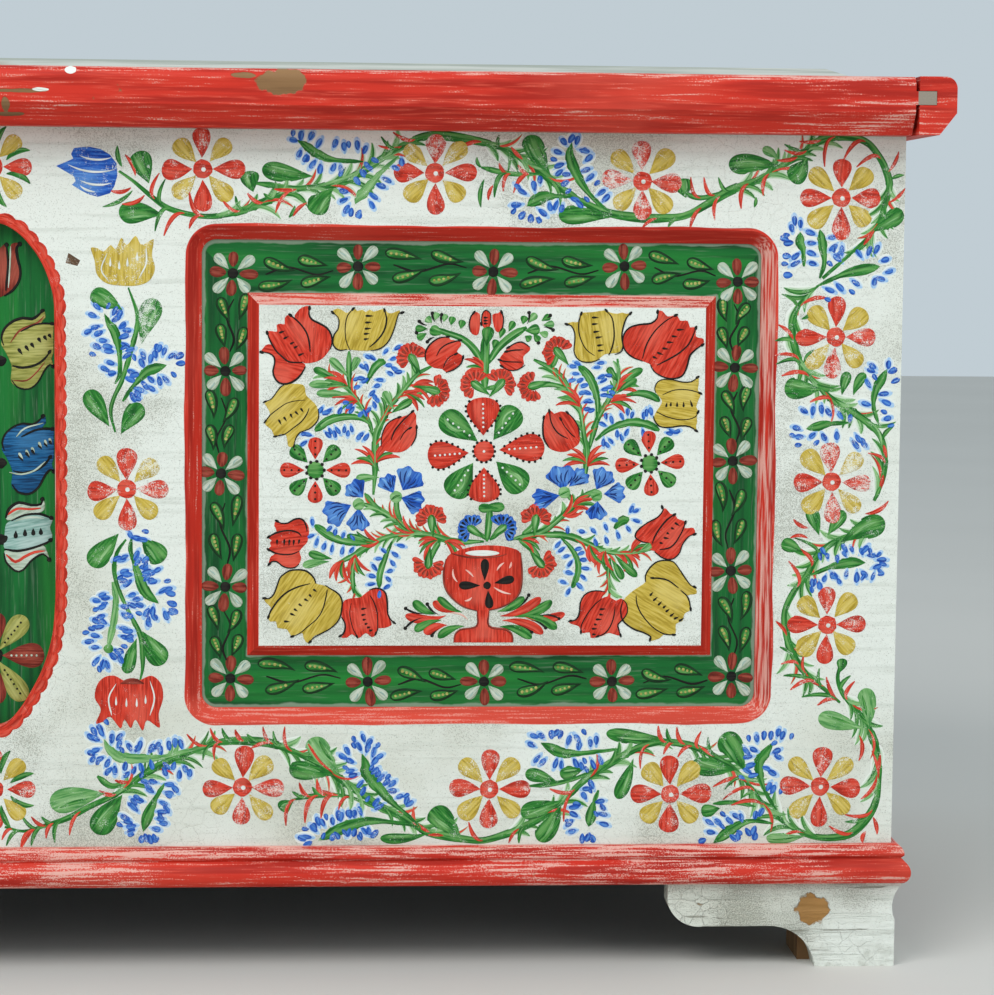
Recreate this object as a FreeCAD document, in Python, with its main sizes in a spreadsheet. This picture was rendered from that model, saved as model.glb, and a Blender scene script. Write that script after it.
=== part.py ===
"""A painted dowry chest on bracket feet, in millimetres.

+Z is up and the front faces -Y. The origin lies on the floor, under the middle of the box that the chest fills.
"""
import FreeCAD, Part
import math
import os
import re
import Sketcher

doc = FreeCAD.newDocument("dowry_chest")

SIZES = [
    ("body_length", 1242, "outside of one side board to outside of the other"),
    ("body_depth", 580, "face of the front overlay to the outside of the back"),
    ("wall_height", 507, "bottom planks to the rim"),
    ("wall_thick", 22, "front, back and side planks"),
    ("bottom_thick", 20, "bottom planks"),
    ("foot_height", 60, "floor to the underside of the bottom planks"),
    ("tail_count", 5, "dovetails at each corner"),
    ("tail_neck", 46, "height of a dovetail where it leaves its board"),
    ("tail_flare", 6, "how far a dovetail widens above and below"),
    ("back_joint", 304, "bottom planks to the joint between the back planks"),
    ("lap_height", 12, "overlap of the back planks"),
    ("plank_tongue", 8, "height and depth of the tongues between planks"),
    ("overlay_thick", 10, "applied front overlay"),
    ("panel_shift", 1, "middle of a panel, outward of midway between the medallion and the corner"),
    ("panel_rise", 262.5, "bottom planks to the middle of the panels and the medallion"),
    ("panel_width", 383, "panel opening at the plank"),
    ("panel_height", 321, "panel opening at the plank"),
    ("panel_corner", 10, "corner radius of the panel opening at the plank"),
    ("panel_bevel", 9, "bevel around a panel opening"),
    ("field_width", 321, "raised field at its foot"),
    ("field_height", 249, "raised field at its foot"),
    ("field_bevel", 8, "slope of the raised field's edge"),
    ("field_thick", 9, "raised field"),
    ("medallion_width", 84, "medallion opening at the plank"),
    ("medallion_height", 344, "medallion opening at the plank"),
    ("crown_rise", 70, "height of the medallion's upper end"),
    ("crown_tip", 22, "half width of the round tip of that end"),
    ("crown_tip_rise", 9, "height of that tip"),
    ("point_rise", 85, "height of the medallion's lower end"),
    ("point_tip", 12, "half width of the round tip of that end"),
    ("point_tip_rise", 5, "height of that tip"),
    ("medallion_bevel", 4, "bevel around the medallion opening"),
    ("base_height", 27, "base moulding"),
    ("base_proud", 12, "base moulding beyond the body"),
    ("torus_height", 15.5, "lower round of the base moulding"),
    ("torus_bulge", 4, "how far that round swells"),
    ("base_groove", 2, "depth of the groove above it, and half its height"),
    ("bead_set", 5, "how far the upper bead leans back"),
    ("foot_proud", 3, "face of a foot beyond the body"),
    ("bracket_thick", 20, "foot bracket board"),
    ("bracket_length", 160, "foot bracket, along the wall"),
    ("leg_width", 56, "foot bracket where it stands"),
    ("apron_height", 31, "foot bracket beside its leg"),
    ("arch_run", 32, "length of the curve between leg and apron"),
    ("nose_run", 25, "length of the curve at the free end"),
    ("nose_height", 14, "upright edge at the free end"),
    ("flare_out", 7, "how far the outer end spreads under the moulding"),
    ("flare_height", 27, "height of that spread"),
    ("block_size", 45, "glue block inside a foot"),
    ("lid_thick", 29, "lid planks"),
    ("lid_lip", 10, "how far the lid's edge hangs below the rim"),
    ("lid_overhang", 34, "lid beyond the front overlay"),
    ("lip_gap", 1.5, "clearance between the lid's lip and the body"),
    ("edge_round", 8, "upper edge of the lid's moulding"),
    ("edge_undercut", 11.5, "lower chamfer of the lid's moulding, inward"),
    ("undercut_rise", 14.7, "lower chamfer of the lid's moulding, upward"),
    ("cleat_width", 25.5, "end cleat of the lid"),
    ("shoulder_gap", 2.5, "gap between the lid planks' ends and the cleat"),
    ("tongue_length", 14, "tongue at the planks' ends, beyond their shoulders"),
    ("tongue_thick", 9, "tongue at the planks' ends"),
    ("tongue_rise", 20, "lower edge of the lid to that tongue"),
    ("groove_clear", 0.3, "clearance around that tongue in the cleat"),
    ("peg_radius", 4, "wooden pegs of the cleats"),
    ("peg_clear", 0.1, "clearance around a peg"),
    ("lid_field_thick", 9, "raised field on the lid"),
    ("lid_field_margin", 54, "lid's outer edge to the raised field"),
    ("lid_field_slope", 22, "slope of that field's edge"),
    ("hinge_offset", 400, "middle of the chest to the middle of a hinge"),
    ("strap_width", 32, "hinge straps"),
    ("strap_thick", 3, "hinge straps"),
    ("lid_strap_length", 240, "strap under the lid"),
    ("back_strap_length", 150, "strap on the back"),
    ("barrel_radius", 5, "hinge barrel"),
    ("hinge_gap", 0.6, "clearance between the barrel and the lid's edge"),
    ("knuckle_width", 16, "middle knuckle, on the lid strap"),
    ("knuckle_clear", 0.3, "clearance beside the middle knuckle"),
    ("pin_radius", 2.5, "hinge pin"),
    ("pin_clear", 0.05, "running clearance around the hinge pin"),
    ("pin_end", 2, "hinge pin beyond the barrel"),
    ("nail_radius", 2, "nail shank"),
    ("nail_head", 5, "radius of a nail's head"),
    ("nail_dome", 2.2, "height of a nail's head"),
    ("nail_length", 16, "nail shank below its head"),
    ("nail_clear", 0.1, "clearance around a nail"),
    ("nail_margin", 18, "end of a strap to its first nail"),
    ("lock_width", 110, "lock case"),
    ("lock_height", 60, "lock case"),
    ("lock_depth", 24, "lock case"),
    ("lock_wall", 2, "sheet iron of the lock case"),
    ("lock_drop", 6, "rim to the top of the lock case"),
    ("lock_ear", 16, "nailing ear at each side of the lock case"),
    ("bolt_length", 92, "lock bolt"),
    ("bolt_size", 7, "height and depth of the lock bolt"),
    ("bolt_clear", 0.3, "clearance around the bolt in its guides"),
    ("bolt_back", 2, "drawn bolt to the staple"),
    ("talon_width", 10, "notch for the key in the bolt"),
    ("talon_depth", 2.5, "notch for the key in the bolt"),
    ("guide_place", 15, "inner guide of the bolt, before the staple"),
    ("staple_offset", 25, "middle of the chest to the lid's staple"),
    ("staple_thick", 4, "staple"),
    ("staple_width", 14, "staple, front to back"),
    ("staple_drop", 24, "staple below its plate"),
    ("staple_clear", 2, "clearance around the staple in the lock case"),
    ("eye_size", 9, "eye of the staple"),
    ("eye_edge", 4.5, "iron below the eye"),
    ("plate_length", 60, "staple plate"),
    ("plate_width", 18, "staple plate"),
    ("plate_thick", 3, "staple plate"),
    ("keyhole_drop", 36, "rim to the keyhole"),
    ("keyhole_radius", 4, "round part of the keyhole"),
    ("keyhole_slot", 4, "width of the keyhole's slot"),
    ("keyhole_tail", 13, "length of the keyhole's slot"),
    ("till_width", 150, "till, inside"),
    ("till_height", 110, "till, inside"),
    ("till_drop", 160, "rim to the top of the till's lid"),
    ("till_thick", 12, "till boards"),
    ("housing", 6, "depth of the housings that hold the till"),
    ("till_gap", 0.3, "clearance under the till's lid"),
    ("till_end_gap", 1, "clearance at the ends of the till's lid"),
    ("till_over", 4, "finger edge of the till's lid"),
    ("till_axis_inset", 10, "side board to the pivot of the till's lid"),
    ("till_pin_radius", 4.5, "pivots of the till's lid"),
    ("till_pin_clear", 0.05, "running clearance around those pivots"),
]

PLACES = [
    ("half_length", "body_length / 2"),
    ("inner_half", "half_length - wall_thick"),
    ("whole_depth", "lid_overhang + body_depth + hinge_gap + 2 * barrel_radius"),
    ("lid_front", "-whole_depth / 2"),
    ("face", "lid_front + lid_overhang"),
    ("plank_face", "face + overlay_thick"),
    ("inner_front", "plank_face + wall_thick"),
    ("back", "face + body_depth"),
    ("inner_back", "back - wall_thick"),
    ("floor_top", "foot_height + bottom_thick"),
    ("rim", "floor_top + wall_height"),
    ("joint_height", "floor_top + back_joint"),
    ("panel_middle", "floor_top + panel_rise"),
    ("panel_offset", "(half_length + medallion_width / 2) / 2 + panel_shift"),
    ("tail_pitch", "wall_height / tail_count"),
    ("plank_depth", "body_depth / 3"),
    ("lid_bottom", "rim - lid_lip"),
    ("lid_top", "rim + lid_thick"),
    ("edge_height", "lid_thick + lid_lip"),
    ("rail_depth", "lid_overhang - lip_gap"),
    ("rail_back", "lid_front + rail_depth"),
    ("lid_plank_depth", "(back - rail_back) / 2"),
    ("cleat_inner", "half_length + lip_gap"),
    ("cleat_outer", "cleat_inner + cleat_width"),
    ("shoulder", "cleat_inner - shoulder_gap"),
    ("tongue_bottom", "lid_bottom + tongue_rise"),
    ("groove_depth", "tongue_length - shoulder_gap + groove_clear"),
    ("peg_line", "shoulder + shoulder_gap + (tongue_length - shoulder_gap) / 2"),
    ("axis_y", "back + hinge_gap + barrel_radius"),
    ("side_knuckle", "(strap_width - knuckle_width) / 2 - knuckle_clear"),
    ("back_strap_top", "rim - barrel_radius"),
    ("lock_middle", "inner_front + lock_depth / 2"),
    ("lock_top", "rim - lock_drop"),
    ("lock_bottom", "lock_top - lock_height"),
    ("plate_bottom", "rim - plate_thick"),
    ("staple_foot", "plate_bottom - staple_drop"),
    ("eye_height", "staple_foot + eye_edge + eye_size / 2"),
    ("bolt_tip", "staple_offset - staple_thick / 2 - bolt_back"),
    ("bolt_tail", "bolt_tip - bolt_length"),
    ("bolt_bottom", "eye_height - bolt_size / 2"),
    ("guide", "staple_offset - guide_place"),
    ("keyhole", "rim - keyhole_drop"),
    ("till_top", "rim - till_drop"),
    ("till_rim", "till_top - till_thick - till_gap"),
    ("till_floor", "till_rim - till_height"),
    ("till_foot", "till_floor - till_thick"),
    ("till_board", "till_width - inner_half"),
    ("till_axis_x", "till_axis_inset - inner_half"),
    ("till_axis_z", "till_top - till_thick / 2"),
]

# The two sheets: the sizes that a maker would set, and the places that follow from them
size_sheet = doc.addObject("Spreadsheet::Sheet", "Size")
for row, (alias, number, meaning) in enumerate(SIZES, 1):
    size_sheet.set(f"A{row}", meaning)
    size_sheet.set(f"B{row}", str(number))
    size_sheet.setAlias(f"B{row}", alias)

SIZE_NAMES = {alias for alias, number, meaning in SIZES}
PLACE_NAMES = {alias for alias, formula in PLACES}


def with_sheets(text, place_prefix="Place."):
    """A rule with the right sheet named before each size or place in it."""
    def named(found):
        word = found.group(0)
        if word in SIZE_NAMES:
            return "Size." + word
        if word in PLACE_NAMES:
            return place_prefix + word
        return word
    return re.sub(r"[a-z_][a-z_0-9]*", named, text)


place_sheet = doc.addObject("Spreadsheet::Sheet", "Place")
for row, (alias, formula) in enumerate(PLACES, 1):
    place_sheet.setAlias(f"B{row}", alias)
    place_sheet.set(f"A{row}", alias)
    place_sheet.set(f"B{row}", "=" + with_sheets(formula, ""))
doc.recompute()


def value(text):
    """The number that a rule gives now."""
    return float(size_sheet.evalExpression(with_sheets(text)))


def bind(made, **rules):
    """Tie properties of an object to rules; x, y and z are its place."""
    paths = {"x": "Placement.Base.x", "y": "Placement.Base.y", "z": "Placement.Base.z"}
    for name, rule in rules.items():
        made.setExpression(paths.get(name, name), with_sheets(rule))
    return made


def board(name, x, y, z, length, width, height):
    """A squared piece, from its corner of least x, y and z."""
    made = doc.addObject("Part::Box", name)
    return bind(made, Length=length, Width=width, Height=height, x=x, y=y, z=z)


ALONG = {
    "x": FreeCAD.Rotation(FreeCAD.Vector(0, 1, 0), 90),
    "y": FreeCAD.Rotation(FreeCAD.Vector(1, 0, 0), -90),
    "z": FreeCAD.Rotation(),
    "-y": FreeCAD.Rotation(FreeCAD.Vector(1, 0, 0), 90),
}


def rod(name, direction, x, y, z, radius, length):
    """A round piece that starts at x, y, z and runs along a direction."""
    made = doc.addObject("Part::Cylinder", name)
    made.Placement.Rotation = ALONG[direction]
    return bind(made, Radius=radius, Height=length, x=x, y=y, z=z)


def wedge(name, **rules):
    """A piece whose two opposite faces, square to its own y, differ in size."""
    made = doc.addObject("Part::Wedge", name)
    return bind(made, **rules)


def joined(name, pieces):
    made = doc.addObject("Part::MultiFuse", name)
    made.Shapes = pieces
    return made


def cut(name, base, tools):
    """A piece with cuts in it."""
    made = doc.addObject("Part::Cut", name)
    made.Base = base
    made.Tool = tools[0] if len(tools) == 1 else joined(name + "_cuts", tools)
    return made


sub_parts = []


def keep(label, made):
    """Name a finished piece; the name is also its file's."""
    made.Label = label
    sub_parts.append(made)
    return made


def new_body(name):
    return doc.addObject("PartDesign::Body", name)


def new_sketch(body, name, plane):
    sketch = body.newObject("Sketcher::SketchObject", name)
    support = next(feature for feature in body.Origin.OriginFeatures if feature.Role == plane)
    sketch.AttachmentSupport = (support, [""])
    sketch.MapMode = "FlatFace"
    return sketch


def arc_between(start, end, radius, turn):
    """The shorter arc from start to end; turn 1 goes round to the left, -1 to the right."""
    chord = end - start
    half = chord.Length / 2
    left = FreeCAD.Vector(-chord.y, chord.x, 0).normalize()
    centre = (start + end) / 2 + left * turn * math.sqrt(radius ** 2 - half ** 2)
    first, last = (start, end) if turn > 0 else (end, start)
    angles = [math.atan2(point.y - centre.y, point.x - centre.x) for point in (first, last)]
    circle = Part.Circle(centre, FreeCAD.Vector(0, 0, 1), radius)
    return Part.ArcOfCircle(circle, angles[0], angles[1])


def outline(sketch, corners):
    """A closed outline, every corner and radius tied to a rule.

    A corner is (x, y), or (x, y, radius, turn) where an arc leaves it.
    """
    points = [FreeCAD.Vector(value(corner[0]), value(corner[1]), 0) for corner in corners]
    runs = []
    for index, corner in enumerate(corners):
        start = points[index]
        end = points[(index + 1) % len(points)]
        if len(corner) == 2:
            runs.append((sketch.addGeometry(Part.LineSegment(start, end), False), 1, 2))
            continue
        arc = sketch.addGeometry(arc_between(start, end, value(corner[2]), corner[3]), False)
        runs.append((arc, 1, 2) if corner[3] > 0 else (arc, 2, 1))
    for index, (run, start, end) in enumerate(runs):
        following, next_start, next_end = runs[(index + 1) % len(runs)]
        sketch.addConstraint(Sketcher.Constraint("Coincident", run, end, following, next_start))
    for (run, start, end), point, corner in zip(runs, points, corners):
        across = sketch.addConstraint(Sketcher.Constraint("DistanceX", run, start, point.x))
        sketch.setExpression(f"Constraints[{across}]", with_sheets(corner[0]))
        upward = sketch.addConstraint(Sketcher.Constraint("DistanceY", run, start, point.y))
        sketch.setExpression(f"Constraints[{upward}]", with_sheets(corner[1]))
        if len(corner) > 2:
            bend = sketch.addConstraint(Sketcher.Constraint("Radius", run, value(corner[2])))
            sketch.setExpression(f"Constraints[{bend}]", with_sheets(corner[2]))


def pad(body, name, sketch, length, side="One side", reverse=False):
    made = body.newObject("PartDesign::Pad", name)
    made.Profile = sketch
    made.SideType = side
    made.Reversed = reverse
    bind(made, Length=length)
    sketch.Visibility = False
    return made


SIDES = (("left", "-1"), ("right", "1"))


def beside(side_sign, place, length):
    """The lower x of a piece that starts at a place and runs outward, on the left or the right."""
    return f"-({place}) - ({length})" if side_sign == "-1" else place


# Till: a small closed box across the left end, its boards housed in the front and the back
housed_length = "inner_back - inner_front + 2 * housing"
till_side = keep("till_side_board", board(
    "TillSide", "till_board", "inner_front - housing", "till_foot",
    "till_thick", housed_length, "till_rim - till_foot"))
till_bottom = keep("till_bottom", board(
    "TillBottom", "-inner_half", "inner_front - housing", "till_foot",
    "till_width", housed_length, "till_thick"))

till_lid_length = "inner_back - inner_front - 2 * till_end_gap"
till_lid_board = board(
    "TillLidBoard", "till_axis_x", "inner_front + till_end_gap", "till_top - till_thick",
    "till_board + till_thick + till_over - till_axis_x", till_lid_length, "till_thick")
till_lid_edge = rod(
    "TillLidEdge", "y", "till_axis_x", "inner_front + till_end_gap", "till_axis_z",
    "till_thick / 2", till_lid_length)
till_pivot = rod(
    "TillPivot", "y", "till_axis_x", "inner_front - housing + till_end_gap", "till_axis_z",
    "till_pin_radius", "inner_back - inner_front + 2 * housing - 2 * till_end_gap")
keep("till_lid", joined("TillLid", [till_lid_board, till_lid_edge, till_pivot]))
till_pivot_hole = rod(
    "TillPivotHole", "y", "till_axis_x", "inner_front - housing", "till_axis_z",
    "till_pin_radius + till_pin_clear", housed_length)
till_housings = [till_side, till_bottom, till_pivot_hole]


# Side boards with their dovetails, which the front and back planks are cut for
def dovetail(name, side_x, start, wide_first, index):
    """One tail through a plank, wide at its free end."""
    narrow = "tail_neck / 2"
    wide = "(tail_neck / 2 + tail_flare)"
    first, last = (wide, narrow) if wide_first else (narrow, wide)
    made = wedge(
        name, Xmin="0", Xmax="wall_thick", X2min="0", X2max="wall_thick", Ymin="0", Ymax="wall_thick",
        Zmin="-" + first, Zmax=first, Z2min="-" + last, Z2max=last)
    return bind(made, x=side_x, y=start, z=f"floor_top + tail_pitch * ({index} + 0.5)")


front_tails = []
back_tails = []
for side, sign in SIDES:
    side_x = beside(sign, "inner_half", "wall_thick")
    side_core = board(
        f"SideCore_{side}", side_x, "inner_front", "floor_top",
        "wall_thick", "inner_back - inner_front", "wall_height")
    tails = []
    for index in range(int(value("tail_count"))):
        front_tail = dovetail(f"FrontTail_{side}_{index}", side_x, "plank_face", True, index)
        back_tail = dovetail(f"BackTail_{side}_{index}", side_x, "inner_back", False, index)
        front_tails.append(front_tail)
        back_tails.append(back_tail)
        tails += [front_tail, back_tail]
    keep(f"side_board_{side}", joined(f"SideBoard_{side}", [side_core] + tails))


# Front plank with the keyhole, and the two back planks, which lap over each other
def keyhole_cutter(name, start, length):
    """The keyhole through one layer of the front: a round hole and the slot below it."""
    hole = rod(name + "Round", "y", "0", start, "keyhole", "keyhole_radius", length)
    slot = board(
        name + "Slot", "-keyhole_slot / 2", start, "keyhole - keyhole_tail",
        "keyhole_slot", length, "keyhole_tail")
    return joined(name, [hole, slot])


front_core = board(
    "FrontCore", "-half_length", "plank_face", "floor_top", "body_length", "wall_thick", "wall_height")
plank_keyhole = keyhole_cutter("PlankKeyhole", "plank_face", "wall_thick")


def strap_nail_heights():
    """Heights of the nails in a back strap, from its lower end up."""
    span = "(back_strap_length - 2 * nail_margin) / 3"
    return [f"back_strap_top - back_strap_length + nail_margin + {step} * {span}" for step in range(4)]


def strap_nail_depths():
    """Places of the nails in a lid strap, from its front end to the inside of the back."""
    span = "(lid_strap_length - wall_thick - 2 * nail_margin) / 3"
    return [f"back - lid_strap_length + nail_margin + {step} * {span}" for step in range(4)]


def nail(name, direction, x, y, z, tip_shift):
    """A nail with a low forged head; its shank starts at x, y, z and the head stands outside it."""
    shank = rod(name + "Shank", direction, x, y, z, "nail_radius", "nail_length")
    head = doc.addObject("Part::Cone", name + "Head")
    head.Placement.Rotation = ALONG[direction]
    dx, dy, dz = tip_shift
    bind(head, Radius1="nail_head / 2", Radius2="nail_head", Height="nail_dome",
         x=x + dx, y=y + dy, z=z + dz)
    return joined(name, [shank, head])


def nail_hole(name, direction, x, y, z):
    return rod(name, direction, x, y, z, "nail_radius + nail_clear", "nail_length")


back_nails = []
back_nail_holes = []
lid_nails = []
lid_nail_holes = []
for side, sign in SIDES:
    hinge_x = f"{sign} * hinge_offset"
    for step, height in enumerate(strap_nail_heights()):
        start = "back + strap_thick"
        back_nails.append(nail(f"BackNail_{side}_{step}", "-y", hinge_x, start, height, ("", " + nail_dome", "")))
        back_nail_holes.append(nail_hole(f"BackNailHole_{side}_{step}", "-y", hinge_x, start, height))
    for step, depth in enumerate(strap_nail_depths()):
        lid_nails.append(nail(f"LidNail_{side}_{step}", "z", hinge_x, depth, "rim", ("", "", " - nail_dome")))
        lid_nail_holes.append(nail_hole(f"LidNailHole_{side}_{step}", "z", hinge_x, depth, "rim"))
keep("back_strap_nails", joined("BackStrapNails", back_nails))
keep("lid_strap_nails", joined("LidStrapNails", lid_nails))

lock_nails = []
lock_nail_holes = []
for side, sign in SIDES:
    for step, level in enumerate(("lock_top - lock_ear / 2", "lock_bottom + lock_ear / 2")):
        place = (f"{sign} * (lock_width / 2 + lock_ear / 2)", "inner_front + lock_wall", level)
        lock_nails.append(nail(f"LockNail_{side}_{step}", "-y", *place, ("", " + nail_dome", "")))
        lock_nail_holes.append(nail_hole(f"LockNailHole_{side}_{step}", "-y", *place))
keep("lock_nails", joined("LockNails", lock_nails))

keep("front_plank", cut(
    "FrontPlank", front_core, front_tails + till_housings + [plank_keyhole] + lock_nail_holes))

back_upper = board(
    "BackUpper", "-half_length", "inner_back", "joint_height",
    "body_length", "wall_thick", "rim - joint_height")
back_lap = board(
    "BackLap", "-half_length", "inner_back + wall_thick / 2", "joint_height - lap_height",
    "body_length", "wall_thick / 2", "lap_height")
back_lower = board(
    "BackLower", "-half_length", "inner_back", "floor_top", "body_length", "wall_thick", "back_joint")
keep("back_plank_upper", cut(
    "BackPlankUpper", joined("BackUpperLapped", [back_upper, back_lap]),
    back_tails + till_housings + back_nail_holes))
keep("back_plank_lower", cut(
    "BackPlankLower", back_lower, [back_lap] + back_tails + till_housings))

# Bottom: three planks, each tongued into the next
bottom_names = ("front", "middle", "back")
bottom_cores = []
bottom_tongues = []
for index, name in enumerate(bottom_names):
    bottom_cores.append(board(
        f"BottomCore_{name}", "-half_length", f"face + {index} * plank_depth", "foot_height",
        "body_length", "plank_depth", "bottom_thick"))
for index in (1, 2):
    bottom_tongues.append(board(
        f"BottomTongue_{index}", "-half_length", f"face + {index} * plank_depth",
        "foot_height + (bottom_thick - plank_tongue) / 2", "body_length", "plank_tongue", "plank_tongue"))
bottom_middle = cut("BottomMiddleGrooved", bottom_cores[1], [bottom_tongues[0]])
keep("bottom_plank_front", joined("BottomPlankFront", [bottom_cores[0], bottom_tongues[0]]))
keep("bottom_plank_middle", joined("BottomPlankMiddle", [bottom_middle, bottom_tongues[1]]))
keep("bottom_plank_back", cut("BottomPlankBack", bottom_cores[2], [bottom_tongues[1]]))

# Front overlay: a thin board over the whole front, with two panel openings and the medallion
overlay = new_body("Overlay")
bind(overlay, y="plank_face", z="panel_middle")
overlay_outline = new_sketch(overlay, "OverlayOutline", "XZ_Plane")
outline(overlay_outline, [
    ("-half_length", "-panel_rise"), ("half_length", "-panel_rise"),
    ("half_length", "wall_height - panel_rise"), ("-half_length", "wall_height - panel_rise")])
pad(overlay, "OverlayPad", overlay_outline, "overlay_thick")


def rounded_opening(middle):
    """Corners of one panel opening, its arcs turning left."""
    right = f"{middle} + panel_width / 2"
    left = f"{middle} - panel_width / 2"
    top = "panel_height / 2"
    bottom = "-panel_height / 2"
    bend = ("panel_corner", 1)
    return [
        (f"{left} + panel_corner", bottom), (f"{right} - panel_corner", bottom, *bend),
        (right, f"{bottom} + panel_corner"), (right, f"{top} - panel_corner", *bend),
        (f"{right} - panel_corner", top), (f"{left} + panel_corner", top, *bend),
        (left, f"{top} - panel_corner"), (left, f"{bottom} + panel_corner", *bend)]


def medallion_end(end, upward):
    """Spring height, tip height, flank and tip arcs of one end of the medallion."""
    spring = f"{upward} * (medallion_height / 2 - {end}_rise)"
    tip = f"{upward} * (medallion_height / 2 - {end}_tip_rise)"
    flank_run = f"(medallion_width / 2 - {end}_tip)"
    flank_rise = f"({end}_rise - {end}_tip_rise)"
    flank = (f"sqrt({flank_run}^2 + {flank_rise}^2) * 1.1", 1)
    tip_arc = (f"({end}_tip^2 + {end}_tip_rise^2) / (2 * {end}_tip_rise)", 1)
    return spring, tip, flank, tip_arc


def medallion_opening():
    """Corners of the medallion: straight sides, and at each end two flanks and a round tip."""
    side = "medallion_width / 2"
    crown_spring, crown_top, crown_flank, crown_arc = medallion_end("crown", 1)
    point_spring, point_foot, point_flank, point_arc = medallion_end("point", -1)
    return [
        (side, point_spring), (side, crown_spring, *crown_flank),
        ("crown_tip", crown_top, *crown_arc), ("-crown_tip", crown_top, *crown_flank),
        (f"-{side}", crown_spring), (f"-{side}", point_spring, *point_flank),
        ("-point_tip", point_foot, *point_arc), ("point_tip", point_foot, *point_flank)]


openings = new_sketch(overlay, "OverlayOpenings", "XZ_Plane")
outline(openings, rounded_opening("panel_offset"))
outline(openings, rounded_opening("-panel_offset"))
outline(openings, medallion_opening())
overlay_pocket = overlay.newObject("PartDesign::Pocket", "OverlayPocket")
overlay_pocket.Profile = openings
overlay_pocket.Type = "ThroughAll"
overlay_pocket.Reversed = True
openings.Visibility = False
doc.recompute()


def front_edges(feature, least, most):
    """Edges around the openings on the overlay's face, with their middles in a range of x."""
    named = []
    for number, edge in enumerate(feature.Shape.Edges, 1):
        box = edge.BoundBox
        on_face = box.YMax < -value("overlay_thick") + 0.01
        inside = abs(box.ZMin + box.ZMax) / 2 < value("panel_height + medallion_height") / 4 + 1
        within = least < abs(box.XMin + box.XMax) / 2 < most
        long_edge = box.XLength > value("half_length") or box.ZLength > value("wall_height") - 1
        if on_face and inside and within and not long_edge:
            named.append(f"Edge{number}")
    return named


medallion_reach = value("medallion_width") / 2 + 1
panel_chamfer = overlay.newObject("PartDesign::Chamfer", "PanelBevel")
panel_chamfer.Base = (overlay_pocket, front_edges(overlay_pocket, medallion_reach, value("half_length") - 1))
bind(panel_chamfer, Size="panel_bevel")
doc.recompute()
medallion_chamfer = overlay.newObject("PartDesign::Chamfer", "MedallionBevel")
medallion_chamfer.Base = (panel_chamfer, front_edges(panel_chamfer, -1, medallion_reach))
bind(medallion_chamfer, Size="medallion_bevel")
overlay.Tip = medallion_chamfer
overlay_keyhole = keyhole_cutter("OverlayKeyhole", "face", "overlay_thick")
keep("front_overlay", cut("FrontOverlay", overlay, [overlay_keyhole]))

# Raised fields in the panels: each slopes to its foot on all four sides
TOWARDS_FRONT = FreeCAD.Rotation(FreeCAD.Vector(1, 0, 0), 180)
for side, sign in SIDES:
    field = wedge(
        f"Field_{side}", Xmin="-field_width / 2", Xmax="field_width / 2",
        X2min="field_bevel - field_width / 2", X2max="field_width / 2 - field_bevel",
        Zmin="-field_height / 2", Zmax="field_height / 2",
        Z2min="field_bevel - field_height / 2", Z2max="field_height / 2 - field_bevel",
        Ymin="0", Ymax="field_thick")
    field.Placement.Rotation = TOWARDS_FRONT
    bind(field, x=f"{sign} * panel_offset", y="plank_face", z="panel_middle")
    keep(f"field_{side}", field)


# Base moulding: a torus, a groove and a bead, mitred at the front corners
def base_profile(outward):
    """Corners of the moulding's section; outward is -1 where it points to the lower coordinate."""
    torus_x = "(base_proud - torus_bulge)"
    torus_bend = "((torus_height / 2)^2 + torus_bulge^2) / (2 * torus_bulge)"
    bead_foot = "(torus_height + 2 * base_groove)"
    bead_x = f"({torus_x} - bead_set)"
    bead_bend = f"sqrt(bead_set^2 + (base_height - {bead_foot})^2) * 0.8"
    turn = -outward
    return [
        ("0", "0"), (f"{outward} * {torus_x}", "0", torus_bend, -turn),
        (f"{outward} * {torus_x}", "torus_height"),
        (f"{outward} * ({torus_x} - base_groove)", "torus_height + base_groove"),
        (f"{outward} * {torus_x}", bead_foot, bead_bend, -turn),
        (f"{outward} * {bead_x}", "base_height"), ("0", "base_height")]


def mitre(body, name, corner_lists):
    """Cut the ends of a moulding at 45 degrees, from below upward."""
    sketch = new_sketch(body, name + "Sketch", "XY_Plane")
    for corners in corner_lists:
        outline(sketch, corners)
    made = body.newObject("PartDesign::Pocket", name)
    made.Profile = sketch
    made.Type = "ThroughAll"
    made.Reversed = True
    sketch.Visibility = False
    body.Tip = made


front_base = new_body("FrontBase")
bind(front_base, y="face", z="foot_height")
front_base_sketch = new_sketch(front_base, "FrontBaseSection", "YZ_Plane")
outline(front_base_sketch, base_profile(-1))
pad(front_base, "FrontBasePad", front_base_sketch, "body_length + 2 * base_proud", "Symmetric")
mitre(front_base, "FrontBaseMitre", [
    [(f"{sign} * half_length", "0"), (f"{sign} * (half_length + base_proud)", "0"),
     (f"{sign} * (half_length + base_proud)", "-base_proud")] for side, sign in SIDES])
keep("base_moulding_front", front_base)

for side, sign in SIDES:
    side_base = new_body(f"SideBase_{side}")
    bind(side_base, x=f"{sign} * half_length", y="face", z="foot_height")
    section = new_sketch(side_base, f"SideBaseSection_{side}", "XZ_Plane")
    outline(section, base_profile(int(sign)))
    side_pad = pad(side_base, f"SideBasePad_{side}", section, "body_depth", "Two sides", True)
    bind(side_pad, Length2="base_proud")
    mitre(side_base, f"SideBaseMitre_{side}", [
        [("0", "0"), ("0", "-base_proud"), (f"{sign} * base_proud", "-base_proud")]])
    keep(f"base_moulding_{side}", side_base)


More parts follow.
